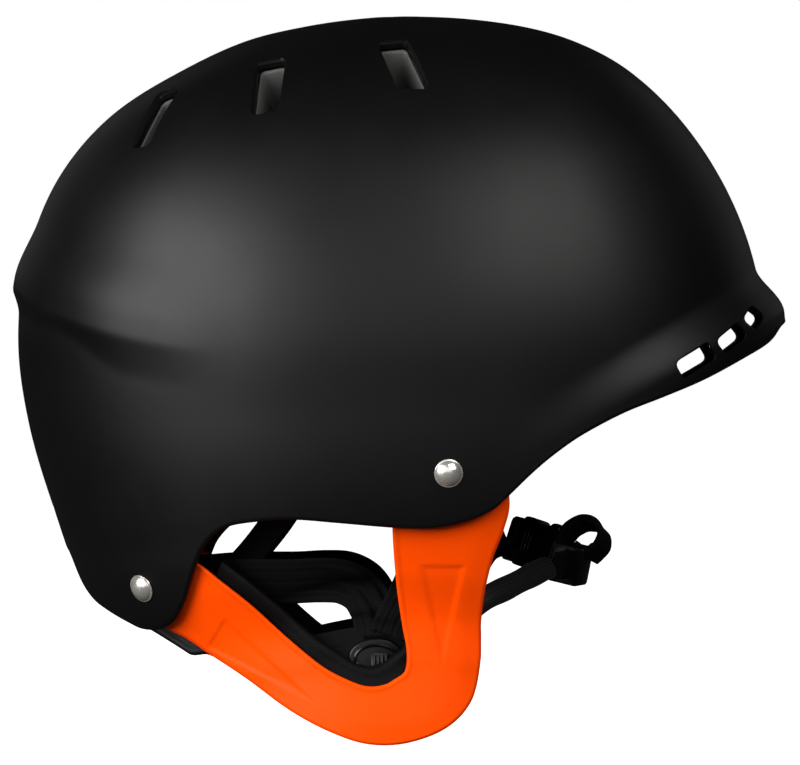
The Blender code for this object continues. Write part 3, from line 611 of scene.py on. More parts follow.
def beads(name, colour, size, depth, roughness=0.75):
    """Moulded or cut foam: packed cells with fine pits between them."""
    n = Nodes(name, colour, roughness, specular=0.1)
    cells = n.node("TexVoronoi", {"Scale": 1.0 / size}, feature="F1")
    n.link(n.place(), cells.inputs["Vector"])
    edges = n.ramp(cells.outputs["Distance"], 0.25, 0.75, 1.0, 0.0)
    pits = n.noise(2600.0, 3.0, 0.6)
    tint = n.noise(60.0, 3.0)
    n.tint(n.ramp(tint, 0.3, 0.7, 0.0, 1.0), 0.8, 1.25)
    n.bump(n.math("ADD", edges, n.math("MULTIPLY", pits, 0.5)), depth, 0.7)
    return n.mat


def polished(name, colour, roughness):
    """Nickel plate with faint hairlines and a few dull patches."""
    n = Nodes(name, colour, roughness, 0.8)
    haze = n.noise(300.0, 4.0, 0.6)
    n.rough(n.ramp(haze, 0.3, 0.8, roughness * 0.7, roughness * 1.8))
    lines = n.noise(1800.0, 2.0, 0.5, n.place((1.0, 1.0, 6.0)))
    n.bump(lines, 0.000004, 0.4)
    return n.mat


SHELL = moulded("shell_satin_black", (0.0014, 0.0014, 0.0015), 0.43, 0.000012, 0.22, 0.02)
RECESS = moulded("vent_wall_black", (0.075, 0.074, 0.072), 0.5, 0.00003, 0.3)
ORANGE = moulded("guard_orange", (0.91, 0.065, 0.0), 0.42, 0.00009, 0.06, 0.05, 1100.0)
HARD = moulded("buckle_black", (0.0014, 0.0014, 0.0015), 0.33, 0.00001, 0.22)
CRADLE = moulded("cradle_black", (0.002, 0.002, 0.0022), 0.5, 0.00002, 0.15)
NICKEL = polished("rivet_nickel", (0.74, 0.71, 0.66), 0.2)
WEB = woven("harness_webbing", (0.0005, 0.0005, 0.00055), 0.8, 1.9, 1.1, 0.00016, 0.0)
SLEEVE = woven("sleeve_webbing", (0.010, 0.010, 0.0105), 0.45, 0.9, 0.7, 0.00004, 0.05)
LINING = cloth("lining_cloth", (0.003, 0.003, 0.0032), 0.0011, 0.00022, 0.05)
FOAM = beads("guard_foam_black", (0.0012, 0.0011, 0.0012), 0.0011, 0.00007, 0.7)
LINER = beads("liner_foam_grey", (0.014, 0.014, 0.0145), 0.0034, 0.00028, 0.7)


# Shell


def inside_rim(point):
    """True where the shell's outline, seen from the side and from behind, covers the point."""
    x, y, z = point[..., 0], point[..., 1], point[..., 2]
    outline = spline(RIM_OUTLINE, 6 * len(RIM_OUTLINE))
    polygon = np.vstack([[(150.0, 400.0)], outline, [(-400.0, 70.0), (-400.0, 400.0)]])
    inside = np.zeros(x.shape, bool)
    for (x0, z0), (x1, z1) in zip(polygon, np.roll(polygon, -1, 0)):
        if z0 == z1:
            continue
        inside ^= ((z0 > z) != (z1 > z)) & (x < x0 + (z - z0) * (x1 - x0) / (z1 - z0))
    beside = np.maximum(0.0, np.abs(y) - NAPE_NOTCH_HALF_WIDTH)
    arch = NAPE_NOTCH_TOP - NAPE_ARCH_FALL * np.sqrt(np.minimum(1.0, beside / NAPE_ARCH_RUN))
    return inside & ~((x < -60.0) & (np.abs(y) < 45.0) & (z < arch))


def rim_of(turns):
    tilts = np.arange(60.0, 151.0)
    inside = inside_rim(shell_point(tilts[None, :], turns[:, None]))
    low = tilts[np.argmin(inside, 1)] - 1.0
    high = low + 1.0
    for _ in range(12):
        middle = (low + high) / 2
        held = inside_rim(shell_point(middle, turns))
        low, high = np.where(held, middle, low), np.where(held, high, middle)
    return low


def shell_columns(count):
    """Turns and rim angles for one half, closer together where the rim climbs steeply."""
    turns = np.linspace(0.0, 180.0, 721)
    rims = rim_of(turns)
    curve = shell_point(rims, turns)
    along = run_length(curve)
    measure = 0.65 * along / along[-1] + 0.35 * turns / 180.0
    share = np.linspace(0.0, 1.0, count)
    return np.interp(share, measure, turns), np.interp(share, measure, rims)


def build_shell():
    half, half_rims = shell_columns(260)
    turns = np.concatenate([half, 360.0 - half[-2:0:-1]])
    rims = np.concatenate([half_rims, half_rims[-2:0:-1]])
    rim = shell_point(rims, turns)
    normal = shell_normal(rims, turns)
    edge = np.roll(rim, -1, 0) - np.roll(rim, 1, 0)
    down = unit(np.cross(normal, edge))
    down = np.where((down * np.array([0, 0, -1.0])).sum(-1, keepdims=True) > -0.3, down, -down)
    radius = SHELL_THICKNESS / 2
    rows = 181
    share = 1 - (1 - np.linspace(0, 1, rows)) ** 1.15
    tilts = 1.5 + (rims[None, :] - 1.0 - 1.5) * share[:, None]
    outer = shell_point(tilts, turns[None, :])
    inner = shell_point(tilts[::3], turns[None, :], SHELL_THICKNESS)
    rolled = []
    for k in range(9):
        a = math.pi * k / 8
        rolled.append(rim - (normal + down) * radius + (normal * math.cos(a) + down * math.sin(a)) * radius)
    rings = np.concatenate([outer, np.array(rolled), inner[::-1]])
    shell = dome("helmet_shell", rings, shell_point(0.0, 0.0), shell_point(0.0, 0.0, SHELL_THICKNESS), SHELL)
    cut(shell, vent_cutters(0.0) + slot_cutters())
    fit(shell, "outer_shell")


def rounded_polygon(corners, radii, steps=6):
    corners = np.array(corners, float)
    radii = np.broadcast_to(np.asarray(radii, float), (len(corners),))
    outline = []
    for i, p in enumerate(corners):
        a = p + unit(corners[i - 1] - p) * radii[i]
        b = p + unit(corners[(i + 1) % len(corners)] - p) * radii[i]
        for t in np.linspace(0, 1, steps + 1):
            outline.append((1 - t) ** 2 * a + 2 * t * (1 - t) * p + t**2 * b)
    return np.array(outline)


# Corners of each vent seen from the side: rear top, front top, front bottom, rear bottom.
VENTS = [
    [(-89.5, 240.9), (-82.1, 243.5), (-92.8, 222.1), (-98.4, 221.0)],
    [(-52.2, 252.0), (-42.2, 253.8), (-44.4, 235.0), (-53.7, 232.8)],
    [(-7.5, 259.7), (2.8, 260.8), (11.0, 242.7), (-0.1, 242.7)],
]
# Side view of each slot: centre (x, z), length, height and slant in degrees.
BRIM_SLOTS = [
    (109.5, 141.9, 14.3, 6.6, 31.0),
    (123.1, 150.1, 10.6, 6.1, 38.5),
    (131.6, 157.8, 6.1, 6.1, 52.0),
]


def vent_place(corners, side):
    """Places side-view outline points at a depth square to the shell in the vent's middle."""
    middle = np.mean(corners, 0)
    normal = side_normal(middle[0], middle[1], side)
    return lambda outline, depth: side_point(outline[:, 0], outline[:, 1], side) - normal * depth


def vent_cutters(narrower, low=-6.0, high=34.0):
    cutters = []
    for side in (1, -1):
        for corners in VENTS:
            outline = rounded_polygon(corners, 1.8)
            levels = [(2.2 - narrower, low), (0.75 - narrower, 0.0), (0.1 - narrower, 0.75),
                      (-narrower, 1.4), (-narrower, high)]
            cutters.append(loft("vent_cutter", outline, levels, vent_place(corners, side)))
    return cutters


def slot_cutters():
    cutters = []
    for side in (1, -1):
        for x, z, length, height, slant in BRIM_SLOTS:
            a = math.radians(slant)
            along, up = np.array([math.cos(a), math.sin(a)]), np.array([-math.sin(a), math.cos(a)])
            box = [(-length / 2, height / 2), (length / 2, height / 2), (length / 2, -height / 2),
                   (-length / 2, -height / 2)]
            corners = [np.array([x, z]) + along * p + up * q for p, q in box]
            outline = rounded_polygon(corners, [2.6, 1.0, 2.6, 1.0])
            levels = [(1.6, -2.5), (0.55, 0.0), (0.0, 0.8), (0.0, 2.3), (0.5, 3.1), (1.4, 6.0)]
            cutters.append(loft("slot_cutter", outline, levels, slot_place(side)))
    return cutters


def slot_place(side):
    """Places side-view outline points straight in from the shell, whatever its slant."""
    def place(points, depth):
        surface = side_point(points[:, 0], points[:, 1], side)
        middle = surface.mean(0)
        slant = abs(side_normal(middle[0], middle[2], side)[1])
        return surface - np.array([0.0, side, 0.0]) * depth / max(0.35, slant)

    return place


build_shell()


# Ear guards and their foam

GUARD_INSET = 4.1
GUARD_THICKNESS = 2.4
FOAM_INSET = 7.2
FOAM_THICKNESS = 6.4
GUARD_OUTER = [
    (37, 109.5), (41, 91), (39, 80), (35.2, 70), (32.2, 58), (30.6, 45), (30.4, 31), (27, 16.5),
    (17.8, 6.8), (3.4, 1.4), (-11, 1.0), (-25, 5.4), (-40, 13.2), (-56, 24.5), (-69, 32.8),
    (-79, 39.3), (-88, 43.2), (-97, 47.4),
]
GUARD_INNER = [
    (0, 109.5), (-1.6, 92), (-1.9, 80.2), (-1.3, 69), (-0.2, 57), (1.5, 45), (3.2, 35.2),
    (2.6, 28), (-0.9, 25), (-5, 22.8), (-11, 22.2), (-18, 24.4), (-28, 29.7), (-41, 40.2),
    (-53.5, 51.6), (-65, 60.7), (-74, 67.5), (-87.5, 73.5),
]
FOAM_OUTER = [
    (30.4, 80.5), (29, 71), (27, 58), (26, 45), (25.5, 32), (21, 19), (13, 10), (1, 5.2), (-11, 4.6),
    (-24, 9), (-38.5, 16.8), (-54.5, 28), (-67, 36), (-76, 42),
]
FOAM_INNER = [
    (5, 80.5), (3.5, 70), (4, 57), (4.6, 46), (3, 38), (-2.5, 33), (-7, 30), (-11, 29.3),
    (-16, 30.8), (-22, 34.5), (-31.5, 41), (-43, 51), (-55, 61.2), (-64.5, 68.5),
]
# Shallow wedges pressed into the guard's face, seen from the side.
WEDGES = [
    [(8.6, 66.5), (24.2, 66.5), (16.2, 31.0)],
    [(-64.0, 46.5), (-70.5, 36.0), (-31.0, 16.5)],
]


def depth_inside(points, corners):
    """Distance in from a triangle's edges, negative outside it."""
    corners = np.array(corners, float)
    centre = corners.mean(0)
    least = np.full(points.shape[:-1], 1e9)
    for a, b in zip(corners, np.roll(corners, -1, 0)):
        normal = unit(np.array([b[1] - a[1], a[0] - b[0]]))
        if (centre - a) @ normal < 0:
            normal = -normal
        least = np.minimum(least, (points - a) @ normal)
    return least


def side_pair(name, flat, face, back, mat, uvs=None):
    """The right and the left solid, from a side view and the depths of its two faces."""
    pair = []
    for side, word in ((-1, "_right"), (1, "_left")):
        outer = side_point(flat[..., 0], flat[..., 1], side, face)
        inner = side_point(flat[..., 0], flat[..., 1], side, back)
        rings = np.concatenate([outer, inner[:, ::-1]], axis=1)
        pair.append(tube_grid(name + word, rings, mat, 50.0, uvs))
    return pair


def side_slab(name, first_edge, second_edge, stations, across, inset, thickness, radius, relief, mat):
    """A plate that follows the helmet's side, with rounded edges and a relief on its face.

    Returns the right and the left one.
    """
    first, second = spline(first_edge, stations), spline(second_edge, stations)
    width = np.linalg.norm(second - first, axis=-1)[:, None]
    share = (1 - np.cos(np.linspace(0, math.pi, across))) / 2 * 0.35 + np.linspace(0, 1, across) * 0.65
    flat = first[:, None] * (1 - share[None, :, None]) + second[:, None] * share[None, :, None]
    from_first, from_second = share[None, :] * width, (1 - share[None, :]) * width
    near = np.minimum(radius, np.minimum(from_first, from_second))
    drop = radius - np.sqrt(np.maximum(0.0, radius**2 - (radius - near) ** 2))
    face = inset + drop + relief(flat, from_first, from_second)
    return side_pair(name, flat, face, inset + thickness - drop, mat)


def guard_relief(flat, from_outer, from_inner):
    lip = smoothstep(2.4, 0.9, from_inner) * 0.4
    crown = 0.5 * smoothstep(0.0, 9.0, from_outer)
    wedge = sum(0.5 * smoothstep(-0.7, 1.0, depth_inside(flat, corners)) for corners in WEDGES)
    return 0.9 - lip - crown + wedge


def foam_relief(flat, from_outer, from_inner):
    return 0.35 * smoothstep(3.0, 1.5, np.abs(from_inner - 6.0))


def build_ear_guards():
    guards = side_slab("guard", GUARD_OUTER, GUARD_INNER, 300, 40, GUARD_INSET, GUARD_THICKNESS + 0.4, 1.2,
                       guard_relief, ORANGE)
    foams = side_slab("guard_foam", FOAM_OUTER, FOAM_INNER, 150, 26, FOAM_INSET + 0.4,
                      FOAM_THICKNESS - 0.4, 2.4, foam_relief, FOAM)
    for guard, foam, word in zip(guards, foams, ("right", "left")):
        fit(guard, "ear_guard_" + word)
        fit(foam, "ear_foam_" + word)


# Rivets


def build_rivets():
    profile = [(0.0, 3.0), (0.5, 2.99), (1.1, 2.93), (1.8, 2.78), (2.5, 2.52), (3.2, 2.15), (3.8, 1.72),
               (4.3, 1.25), (4.6, 0.9), (4.72, 0.72), (4.95, 0.66), (5.2, 0.55), (5.28, 0.38), (5.22, 0.15),
               (4.9, 0.05), (2.0, 0.02), (2.0, -9.9), (3.4, -10.1), (3.4, -10.6), (0.0, -10.6)]
    for side, word in ((1, "left"), (-1, "right")):
        for place, which in ((FRONT_RIVET, "front"), (REAR_RIVET, "rear")):
            frame_matrix = axis_matrix(side_point(*place, side), side_normal(*place, side))
            rivet = lathe(f"{which}_dome_{word}", profile, frame_matrix, NICKEL, 72, 30.0)
            fit(rivet, f"{which}_rivet_{word}")


build_ear_guards()
build_rivets()


# Side webbing and dividers

REAR_STRAP = [
    (-98, 57.4, 7.3), (-91, 57.8, 7.3), (-84, 58.4, 7.6), (-78, 59.0, 10.6), (-72.5, 59.6, 14.8),
    (-64, 60.2, 16.4), (-52, 60.4, 16.4), (-40, 60.4, 16.4), (-29, 60.9, 16.4), (-20.5, 60.3, 16.4),
    (-13.6, 56.6, 16.4), (-9.8, 50.6, 16.4), (-8.3, 45.5, 16.4), (-8, 40.6, 16.4),
]
FRONT_STRAP = [
    (18.7, 107.5, 7.3), (18.5, 97, 7.3), (17.5, 89.5, 11), (15, 82, 14.4), (10, 68, 14.4),
    (4, 54, 14.4), (-0.6, 45, 14.4), (-2.2, 40.6, 14.4),
]
GUSSET_STRAP = [(-36, 33.0, 17.6), (-28, 34.8, 17.2), (-20, 36.4, 16.8), (-12.5, 37.6, 16.4)]
DIVIDER = (-8.0, 32.0)
DIVIDER_INSET = 16.2


def side_strap(name, path, stations, half_width, mat, pleat=None):
    """Ribbed webbing lying along the helmet's side; returns the right and the left one."""
    centre = spline(path, stations)
    flat = centre[:, :2]
    run = headings(flat)
    sideways = np.stack([-run[:, 1], run[:, 0]], -1)
    across = np.linspace(1.0, -1.0, 33)
    edge = np.sqrt(np.maximum(0.0, 1 - np.maximum(0.0, (np.abs(across) - 0.9) / 0.1) ** 2))
    rib = 0.11 * (0.5 - 0.5 * np.cos(5 * math.pi * (across + 1)))
    along = run_length(flat)
    lift = np.zeros((stations, len(across))) if pleat is None else pleat(along / along[-1], across)
    where = flat[:, None] + sideways[:, None] * (across * half_width)[None, :, None]
    half = WEB_THICKNESS / 2
    middle = centre[:, 2][:, None] + half + lift
    face = middle - half * (0.35 + 0.65 * edge) + rib
    back = middle + half * (0.35 + 0.65 * edge) - rib
    uv = np.stack(np.broadcast_arrays(along[:, None], (across * half_width)[None, :]), -1)
    uvs = np.concatenate([uv, uv[:, ::-1]], axis=1)
    return side_pair(name, where, face, back, mat, uvs)


def bend_pleats(share, across):
    """Soft folds fanning over the strap where it turns down to the divider."""
    turn = smoothstep(0.66, 0.82, share) * smoothstep(1.03, 0.9, share)
    return turn[:, None] * 0.45 * np.sin(across * 9.0 + 0.5)[None, :] * smoothstep(-1.0, 0.4, across)[None, :]


def build_side_straps():
    rear = side_strap("rear_webbing", REAR_STRAP, 150, 8.3, WEB, bend_pleats)
    front = side_strap("front_webbing", FRONT_STRAP, 60, 8.3, WEB)
    gusset = side_strap("gusset_webbing", GUSSET_STRAP, 30, 6.4, WEB)
    for k, word in enumerate(("right", "left")):
        fit(rear[k], "rear_strap_" + word)
        fit(front[k], "front_strap_" + word)
        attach(gusset[k], "helmet")


def ellipse(a, b, count=72):
    t = np.linspace(0, 2 * math.pi, count, endpoint=False)
    return np.stack([a * np.cos(t), b * np.sin(t)], -1)


def build_dividers():
    for side, word in ((1, "left"), (-1, "right")):
        centre = side_point(*DIVIDER, side, DIVIDER_INSET + 2.6)
        place = axis_matrix(centre, (0, side, 0), (1, 0, 0))
        body = extrude("divider_body", ellipse(10.4, 7.6), -2.4, 1.9, place, HARD, 0.9, 4)
        rim_outer, rim_inner = ellipse(8.4, 5.6), ellipse(7.2, 4.4)
        n = len(rim_outer)
        points = []
        for outline, height in ((rim_outer, 1.7), (rim_outer, 2.35), ((rim_outer + rim_inner) / 2, 2.7),
                                (rim_inner, 2.35), (rim_inner, 1.7)):
            points += [(x, y, height) for x, y in outline]
        faces = grid_faces(5, n, 0, True)
        faces += [(j, (j + 1) % n, 4 * n + (j + 1) % n, 4 * n + j) for j in range(n)]
        rim = from_points("divider_rim", through(place, points), faces, HARD, 50.0)
        bars = []
        for k in range(4):
            bar = rounded_rectangle(0.75, 3.6, 0.3, 3) + (k * 1.45 - 0.6, -0.4)
            bars.append(extrude("divider_bar", bar, 1.7, 2.25, place, HARD, 0.2, 2))
        frame_outer = rounded_rectangle(7.0, 5.0, 1.0, 3) + (1.6, -0.4)
        bars.append(extrude("divider_plate", frame_outer, 1.7, 2.05, place, HARD, 0.15, 2))
        piece = joined("divider_" + word, [body, rim] + bars)
        fit(piece, "strap_divider_" + word)


build_side_straps()
build_dividers()


# Chin strap, adjuster and buckle

CHIN_RIGHT = [
    (4.8, -66.6, 34.0), (14, -66.0, 40), (24, -62, 48), (32, -56.2, 53.7), (40, -47.5, 57.5),
    (47, -38, 60.8), (53, -29, 63.6), (56.6, -23.4, 65.0),
]
CHIN_LEFT = [
    (4.8, 66.6, 34.0), (13, 66.2, 41.0), (22.5, 63.4, 54.0), (28, 60, 64.5), (33, 56.6, 71.5),
    (40.0, 51.0, 74.0),
]
CHIN_WEBBING = [
    (57.3, -22.8, 65.0), (60.9, -13, 65.35), (64.2, -4, 65.7), (67.1, 4.0, 66.0), (67.4, 9.6, 67.2),
    (65.4, 14.4, 68.8),
]
ADJUSTER_CENTRE = np.array([64.2, -4.0, 65.7])
ADJUSTER_RUN = np.array([6.9, 18.8, 0.7])
WEB_WIDTH_HINT = np.array([0.2, -0.1, 1.0])
PLUG_END = np.array([41.6, 49.2, 74.4])
SOCKET_END = np.array([63.6, 16.8, 69.2])
# The folded tail's middle line beside the adjuster: (above, ahead) of the block's centre.
TAIL_PATH = [(7.0, -4.4), (9.6, -3.6), (13.2, -1.4), (16.2, 2.6), (16.4, 7.0), (13.8, 10.2), (9.8, 10.8),
             (6.4, 9.0), (3.6, 6.8)]
PLUG_BODY = 9.6
SOCKET_START = 10.2
SOCKET_LENGTH = 24.0


def build_chin_sleeve():
    """The right half: a soft tubular sleeve, slightly flattened, with a seam along it."""
    path = resample(spline(CHIN_RIGHT, 80), 110)
    run = headings(path)
    hint = np.array([-0.45, 0.2, 1.0])
    wide = unit(hint - run * (run @ hint)[:, None])
    thin = np.cross(run, wide)
    along = run_length(path)
    angles = np.linspace(0, 2 * math.pi, 48, endpoint=False)
    end = np.minimum(1.0, np.minimum(along / 2.5, (along[-1] - along) / 2.5))
    swell = 0.86 + 0.14 * np.sqrt(end) + 0.03 * np.sin(along * 0.31)
    seam = 0.25 * np.exp(-((angles - math.pi / 2) / 0.1) ** 2)
    rings = (path[:, None] + wide[:, None] * (np.cos(angles) * 4.5)[None, :, None] * swell[:, None, None]
             + thin[:, None] * ((1.95 - seam) * np.sin(angles))[None, :, None] * swell[:, None, None])
    uvs = np.stack(np.broadcast_arrays(along[:, None], (angles * 3.2)[None, :]), -1)
    sleeve = tube_grid("chin_sleeve", rings, SLEEVE, 50.0, uvs)
    fit(sleeve, "chin_strap_right", "chin_harness")


def build_chin_webbing():
    left = strap("chin_web_left", resample(spline(CHIN_LEFT, 60), 70), 6.4, 1.5, (-0.75, 0.25, 0.6), WEB,
                 rib=0.09, rib_count=5)
    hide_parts("chin_strap_left")
    tuple(world(CHIN_LEFT[1]))
    tuple(world(PLUG_END))
    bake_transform(left)
    front = strap("chin_web_front", resample(spline(CHIN_WEBBING, 60), 60), 5.5, 1.3, WEB_WIDTH_HINT, WEB,
                  rib=0.08, rib_count=4)
    fit(front, "chin_webbing", "chin_harness")


def build_adjuster():
    """Ladder block: a sleeve with bevelled edges around the webbing, and the tail's folded loop."""
    place = axis_matrix(ADJUSTER_CENTRE, ADJUSTER_RUN, WEB_WIDTH_HINT)
    block = extrude("adjuster_block", rounded_rectangle(15.0, 12.4, 1.5, 4), -5.6, 5.6, place, HARD, 0.5, 3)
    hole = extrude("adjuster_hole", rounded_rectangle(11.9, 2.2, 0.4, 2), -9, 9, place, HARD)
    cut(block, [hole])
    fit(block, "chin_adjuster", "adjuster")
    tail_points = [(above, ahead, 0.0) for above, ahead in TAIL_PATH]
    path = resample(spline(through(place, tail_points), 120), 110)
    tail = strap("folded_tail", path, 5.2, 2.8, (0.35, 0.85, -0.5), WEB, rib=0.08, rib_count=4)
    fit(tail, "strap_tail", "adjuster")


def build_buckle():
    run = unit(SOCKET_END - PLUG_END)
    wide = np.array([0.35, 0.0, 1.0])
    wide = unit(wide - run * (run @ wide))
    place = np.eye(4)
    place[:3, 0], place[:3, 1], place[:3, 2], place[:3, 3] = run, wide, np.cross(run, wide), PLUG_END
    half, body, tip = 8.6, PLUG_BODY, SOCKET_START + 16.0
    edge = [
        (0, half - 2.2), (0.5, half - 0.9), (2.0, half), (body - 0.6, half), (body, half - 0.6), (body, 6.7),
        (tip - 5, 6.9), (tip - 2.4, 6.5), (tip, 5.2), (tip - 0.8, 4.3), (tip - 4, 4.5), (body, 4.0),
        (body, 1.6), (tip - 4.4, 1.3), (tip - 4, 0.8),
    ]
    outline = [(x, -y) for x, y in edge] + edge[::-1]
    plug = extrude("plug_body", outline, -1.85, 1.85, place, HARD, 0.35, 2)
    slit = extrude("plug_slit", rounded_rectangle(3.4, 13.4, 0.6, 3) + (4.6, 0.0), -6, 6, place, HARD)
    cut(plug, [slit])
    fit(plug, "buckle_plug", "plug")
    start, length = SOCKET_START, SOCKET_LENGTH
    side = [(0, 9.5 - 1.4), (1.4, 9.5), (6.5, 9.5), (8.6, 8.4), (13.2, 7.7), (17.6, 8.3), (19.2, 9.3),
            (length - 1.6, 9.5), (length, 9.5 - 1.6)]
    smooth = spline([(x + start, y) for x, y in side], 40)
    shape = np.vstack([smooth, smooth[::-1] * (1, -1)])
    socket = extrude("socket_body", shape, -3.9, 3.9, place, HARD, 0.8, 3)
    holes = []
    for along, across, at, deep in ((20.0, 14.8, 8.0, 2.5), (8.0, 26.0, 13.0, 1.9), (2.2, 13.0, 21.6, 6)):
        shape = rounded_rectangle(along, across, 0.5, 2) + (start + at, 0)
        holes.append(extrude("socket_hole", shape, -deep, deep, place, HARD))
    cut(socket, holes)
    ribs = []
    for k in range(3):
        for face in (1, -1):
            low, high = (3.6, 4.15) if face > 0 else (-4.15, -3.6)
            rib = rounded_rectangle(0.9, 9.0 - 1.6 * k, 0.4, 4) + (start + 4.0 + 2.1 * k, 0)
            ribs.append(extrude("socket_rib", rib, low, high, place, HARD, 0.18, 2))
    piece = joined("socket", [socket] + ribs)
    fit(piece, "buckle_socket", "chin_harness")


build_chin_sleeve()
build_chin_webbing()
build_adjuster()
build_buckle()


# Liner, vent sleeves and pads

LINER_BOTTOM = [
    (-150, 101), (-80, 101), (-30, 106), (10, 113), (40, 124), (80, 151), (105, 170), (130, 184),
]
PAD_INSET = SHELL_THICKNESS + LINER_GAP + LINER_THICKNESS + 1.3
PAD_THICKNESS = 6.0
PAD_EDGE = 1.4


def liner_tilt(turns):
    low, high = np.full(turns.shape, 40.0), np.full(turns.shape, 130.0)
    for _ in range(20):
        middle = (low + high) / 2
        point = shell_point(middle, turns)
        above = point[:, 2] > lookup(LINER_BOTTOM, point[:, 0])
        low, high = np.where(above, middle, low), np.where(above, high, middle)
    return low


def build_liner():
    """Moulded foam: rounded lower edge and shallow channels from vent to vent inside."""
    turns = np.linspace(0.0, 360.0, 240, endpoint=False)
    rims = liner_tilt(np.where(turns > 180, 360 - turns, turns))
    rows = 64
    share = np.linspace(0, 1, rows)
    tilts = 2.0 + (rims[None, :] - 2.0) * share[:, None]
    outside = SHELL_THICKNESS + LINER_GAP
    inside = outside + LINER_THICKNESS
    from_rim = (rims[None, :] - tilts) * 2.2
    rounding = 5.0 - np.sqrt(np.maximum(0.0, 25.0 - np.maximum(0.0, 5.0 - from_rim) ** 2))
    turn_grid = np.broadcast_to(turns[None, :], tilts.shape)
    channel = np.zeros(tilts.shape)
    for centre in (0.0, 52.0, 98.0, 142.0, 180.0, 218.0, 262.0, 308.0):
        away = np.abs((turn_grid - centre + 180.0) % 360.0 - 180.0) * np.sin(np.radians(tilts))
        channel += smoothstep(7.5, 5.0, away) * smoothstep(20.0, 30.0, tilts) * smoothstep(3.0, 12.0, from_rim)
    outer = shell_point(tilts, turn_grid, outside + 0.3 * rounding)
    inner = shell_point(tilts, turn_grid, inside - rounding - 3.2 * np.minimum(1.0, channel))
    rings = np.concatenate([outer, inner[::-1]])
    liner = dome("moulded_liner", rings, shell_point(0.0, 0.0, outside), shell_point(0.0, 0.0, inside), LINER)
    cut(liner, vent_cutters(0.35, -2.0))
    fit(liner, "foam_liner")


def build_vent_sleeves():
    """Smooth moulded frames that line each vent through the foam."""
    for side, word in ((1, "left"), (-1, "right")):
        for index, corners in enumerate(VENTS):
            outline = rounded_polygon(corners, 1.8)
            place = vent_place(corners, side)
            centre = outline.mean(0)
            reach = unit(outline - centre)
            rings = []
            for shrink, depth in ((0.5, 3.4), (1.0, 3.3), (1.35, 3.6), (1.5, 4.2), (1.5, 22.0), (0.5, 22.0)):
                rings.append(place(outline - reach * shrink, depth))
            n = len(outline)
            points = np.concatenate(rings)
            faces = grid_faces(len(rings), n, 0, True)
            faces += [(j, (j + 1) % n, 5 * n + (j + 1) % n, 5 * n + j) for j in range(n)]
            sleeve = from_points(f"vent_sleeve_{word}_{index + 1}", points, faces, RECESS, 40.0)
            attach(sleeve, "helmet")


def stitched_pad(name, turn_range, tilt_range, node):
    """A lining pad on the liner's inside: crowned, pulled in between its corners, with a bound edge."""
    s = np.linspace(-1, 1, 72)[None, :]
    t = np.linspace(-1, 1, 44)[:, None]
    ease_s = s * (1 - 0.10 * np.abs(t) ** 4) * np.ones_like(t)
    ease_t = t * (1 - 0.10 * np.abs(s) ** 4) * np.ones_like(s)
    turn = sum(turn_range) / 2 + ease_s * (turn_range[1] - turn_range[0]) / 2
    tilt = sum(tilt_range) / 2 + ease_t * (tilt_range[1] - tilt_range[0]) / 2
    edge = np.maximum(np.abs(s), np.abs(t)) * np.ones_like(turn)
    rise = (1 - np.abs(s) ** 5) ** 0.5 * (1 - np.abs(t) ** 4) ** 0.5
    seam = 0.9 * np.exp(-((edge - 0.86) / 0.025) ** 2)
    quilt = 0.5 * np.exp(-((np.abs(s) - 0.36) / 0.02) ** 2) * rise
    lift = PAD_EDGE + (PAD_THICKNESS - PAD_EDGE) * rise - seam - quilt
    back = shell_point(tilt, turn, np.full(turn.shape, PAD_INSET))
    front = shell_point(tilt, turn, PAD_INSET + np.maximum(0.5, lift))
    rings = np.concatenate([front, back[:, ::-1]], axis=1)
    pad = tube_grid(name, rings, LINING, 60.0)
    fit(pad, node)


def build_crown_cushion():
    """Round crown pad: flat bearing face, rounded shoulders and three sewn spokes."""
    top = shell_point(0.0, 0.0, PAD_INSET)[2]
    radii = np.array([2, 6, 10, 14, 18, 21, 23, 24.6, 25.6, 26.0])
    angles = np.linspace(0, 2 * math.pi, 96, endpoint=False)
    spokes = np.exp(-(np.sin(1.5 * angles) / 0.08) ** 2)
    upper = [(r, top - 0.3 - r * r / 150.0) for r in radii]
    rings = [[(r * math.cos(a), r * math.sin(a), z) for a in angles] for r, z in upper]
    for r, z in ((26.0, SEAT_HEIGHT + 1.4), (25.6, SEAT_HEIGHT + 0.5), (24.4, SEAT_HEIGHT + 0.08)):
        rings.append([(r * math.cos(a), r * math.sin(a), z) for a in angles])
    for r in (22.0, 18.0, 14.0, 10.0, 6.0, 2.0):
        rings.append([(r * math.cos(a), r * math.sin(a), SEAT_HEIGHT + 0.05 + 0.8 * k * (r < 23))
                      for a, k in zip(angles, spokes)])
    pad = tube_grid("crown_cushion", rings, LINING, 60.0)
    fit(pad, "crown_pad")


build_liner()
build_vent_sleeves()
stitched_pad("brow_cushion", (-42, 42), (62, 74), "brow_pad")
stitched_pad("temple_cushion_left", (62, 112), (66, 96), "side_pad_left")
stitched_pad("temple_cushion_right", (-112, -62), (66, 96), "side_pad_right")
stitched_pad("nape_cushion", (150, 210), (82, 104), "rear_pad")
build_crown_cushion()


# Nape cradle, dial and arms

CRADLE_CENTRE_X = -61.0
CRADLE_RADIUS = 48.5
DIAL_FACE = np.array([-124.4, 0.0, 76.0])
DIAL_AXIS = np.array([-math.cos(math.radians(20)), 0.0, -math.sin(math.radians(20))])
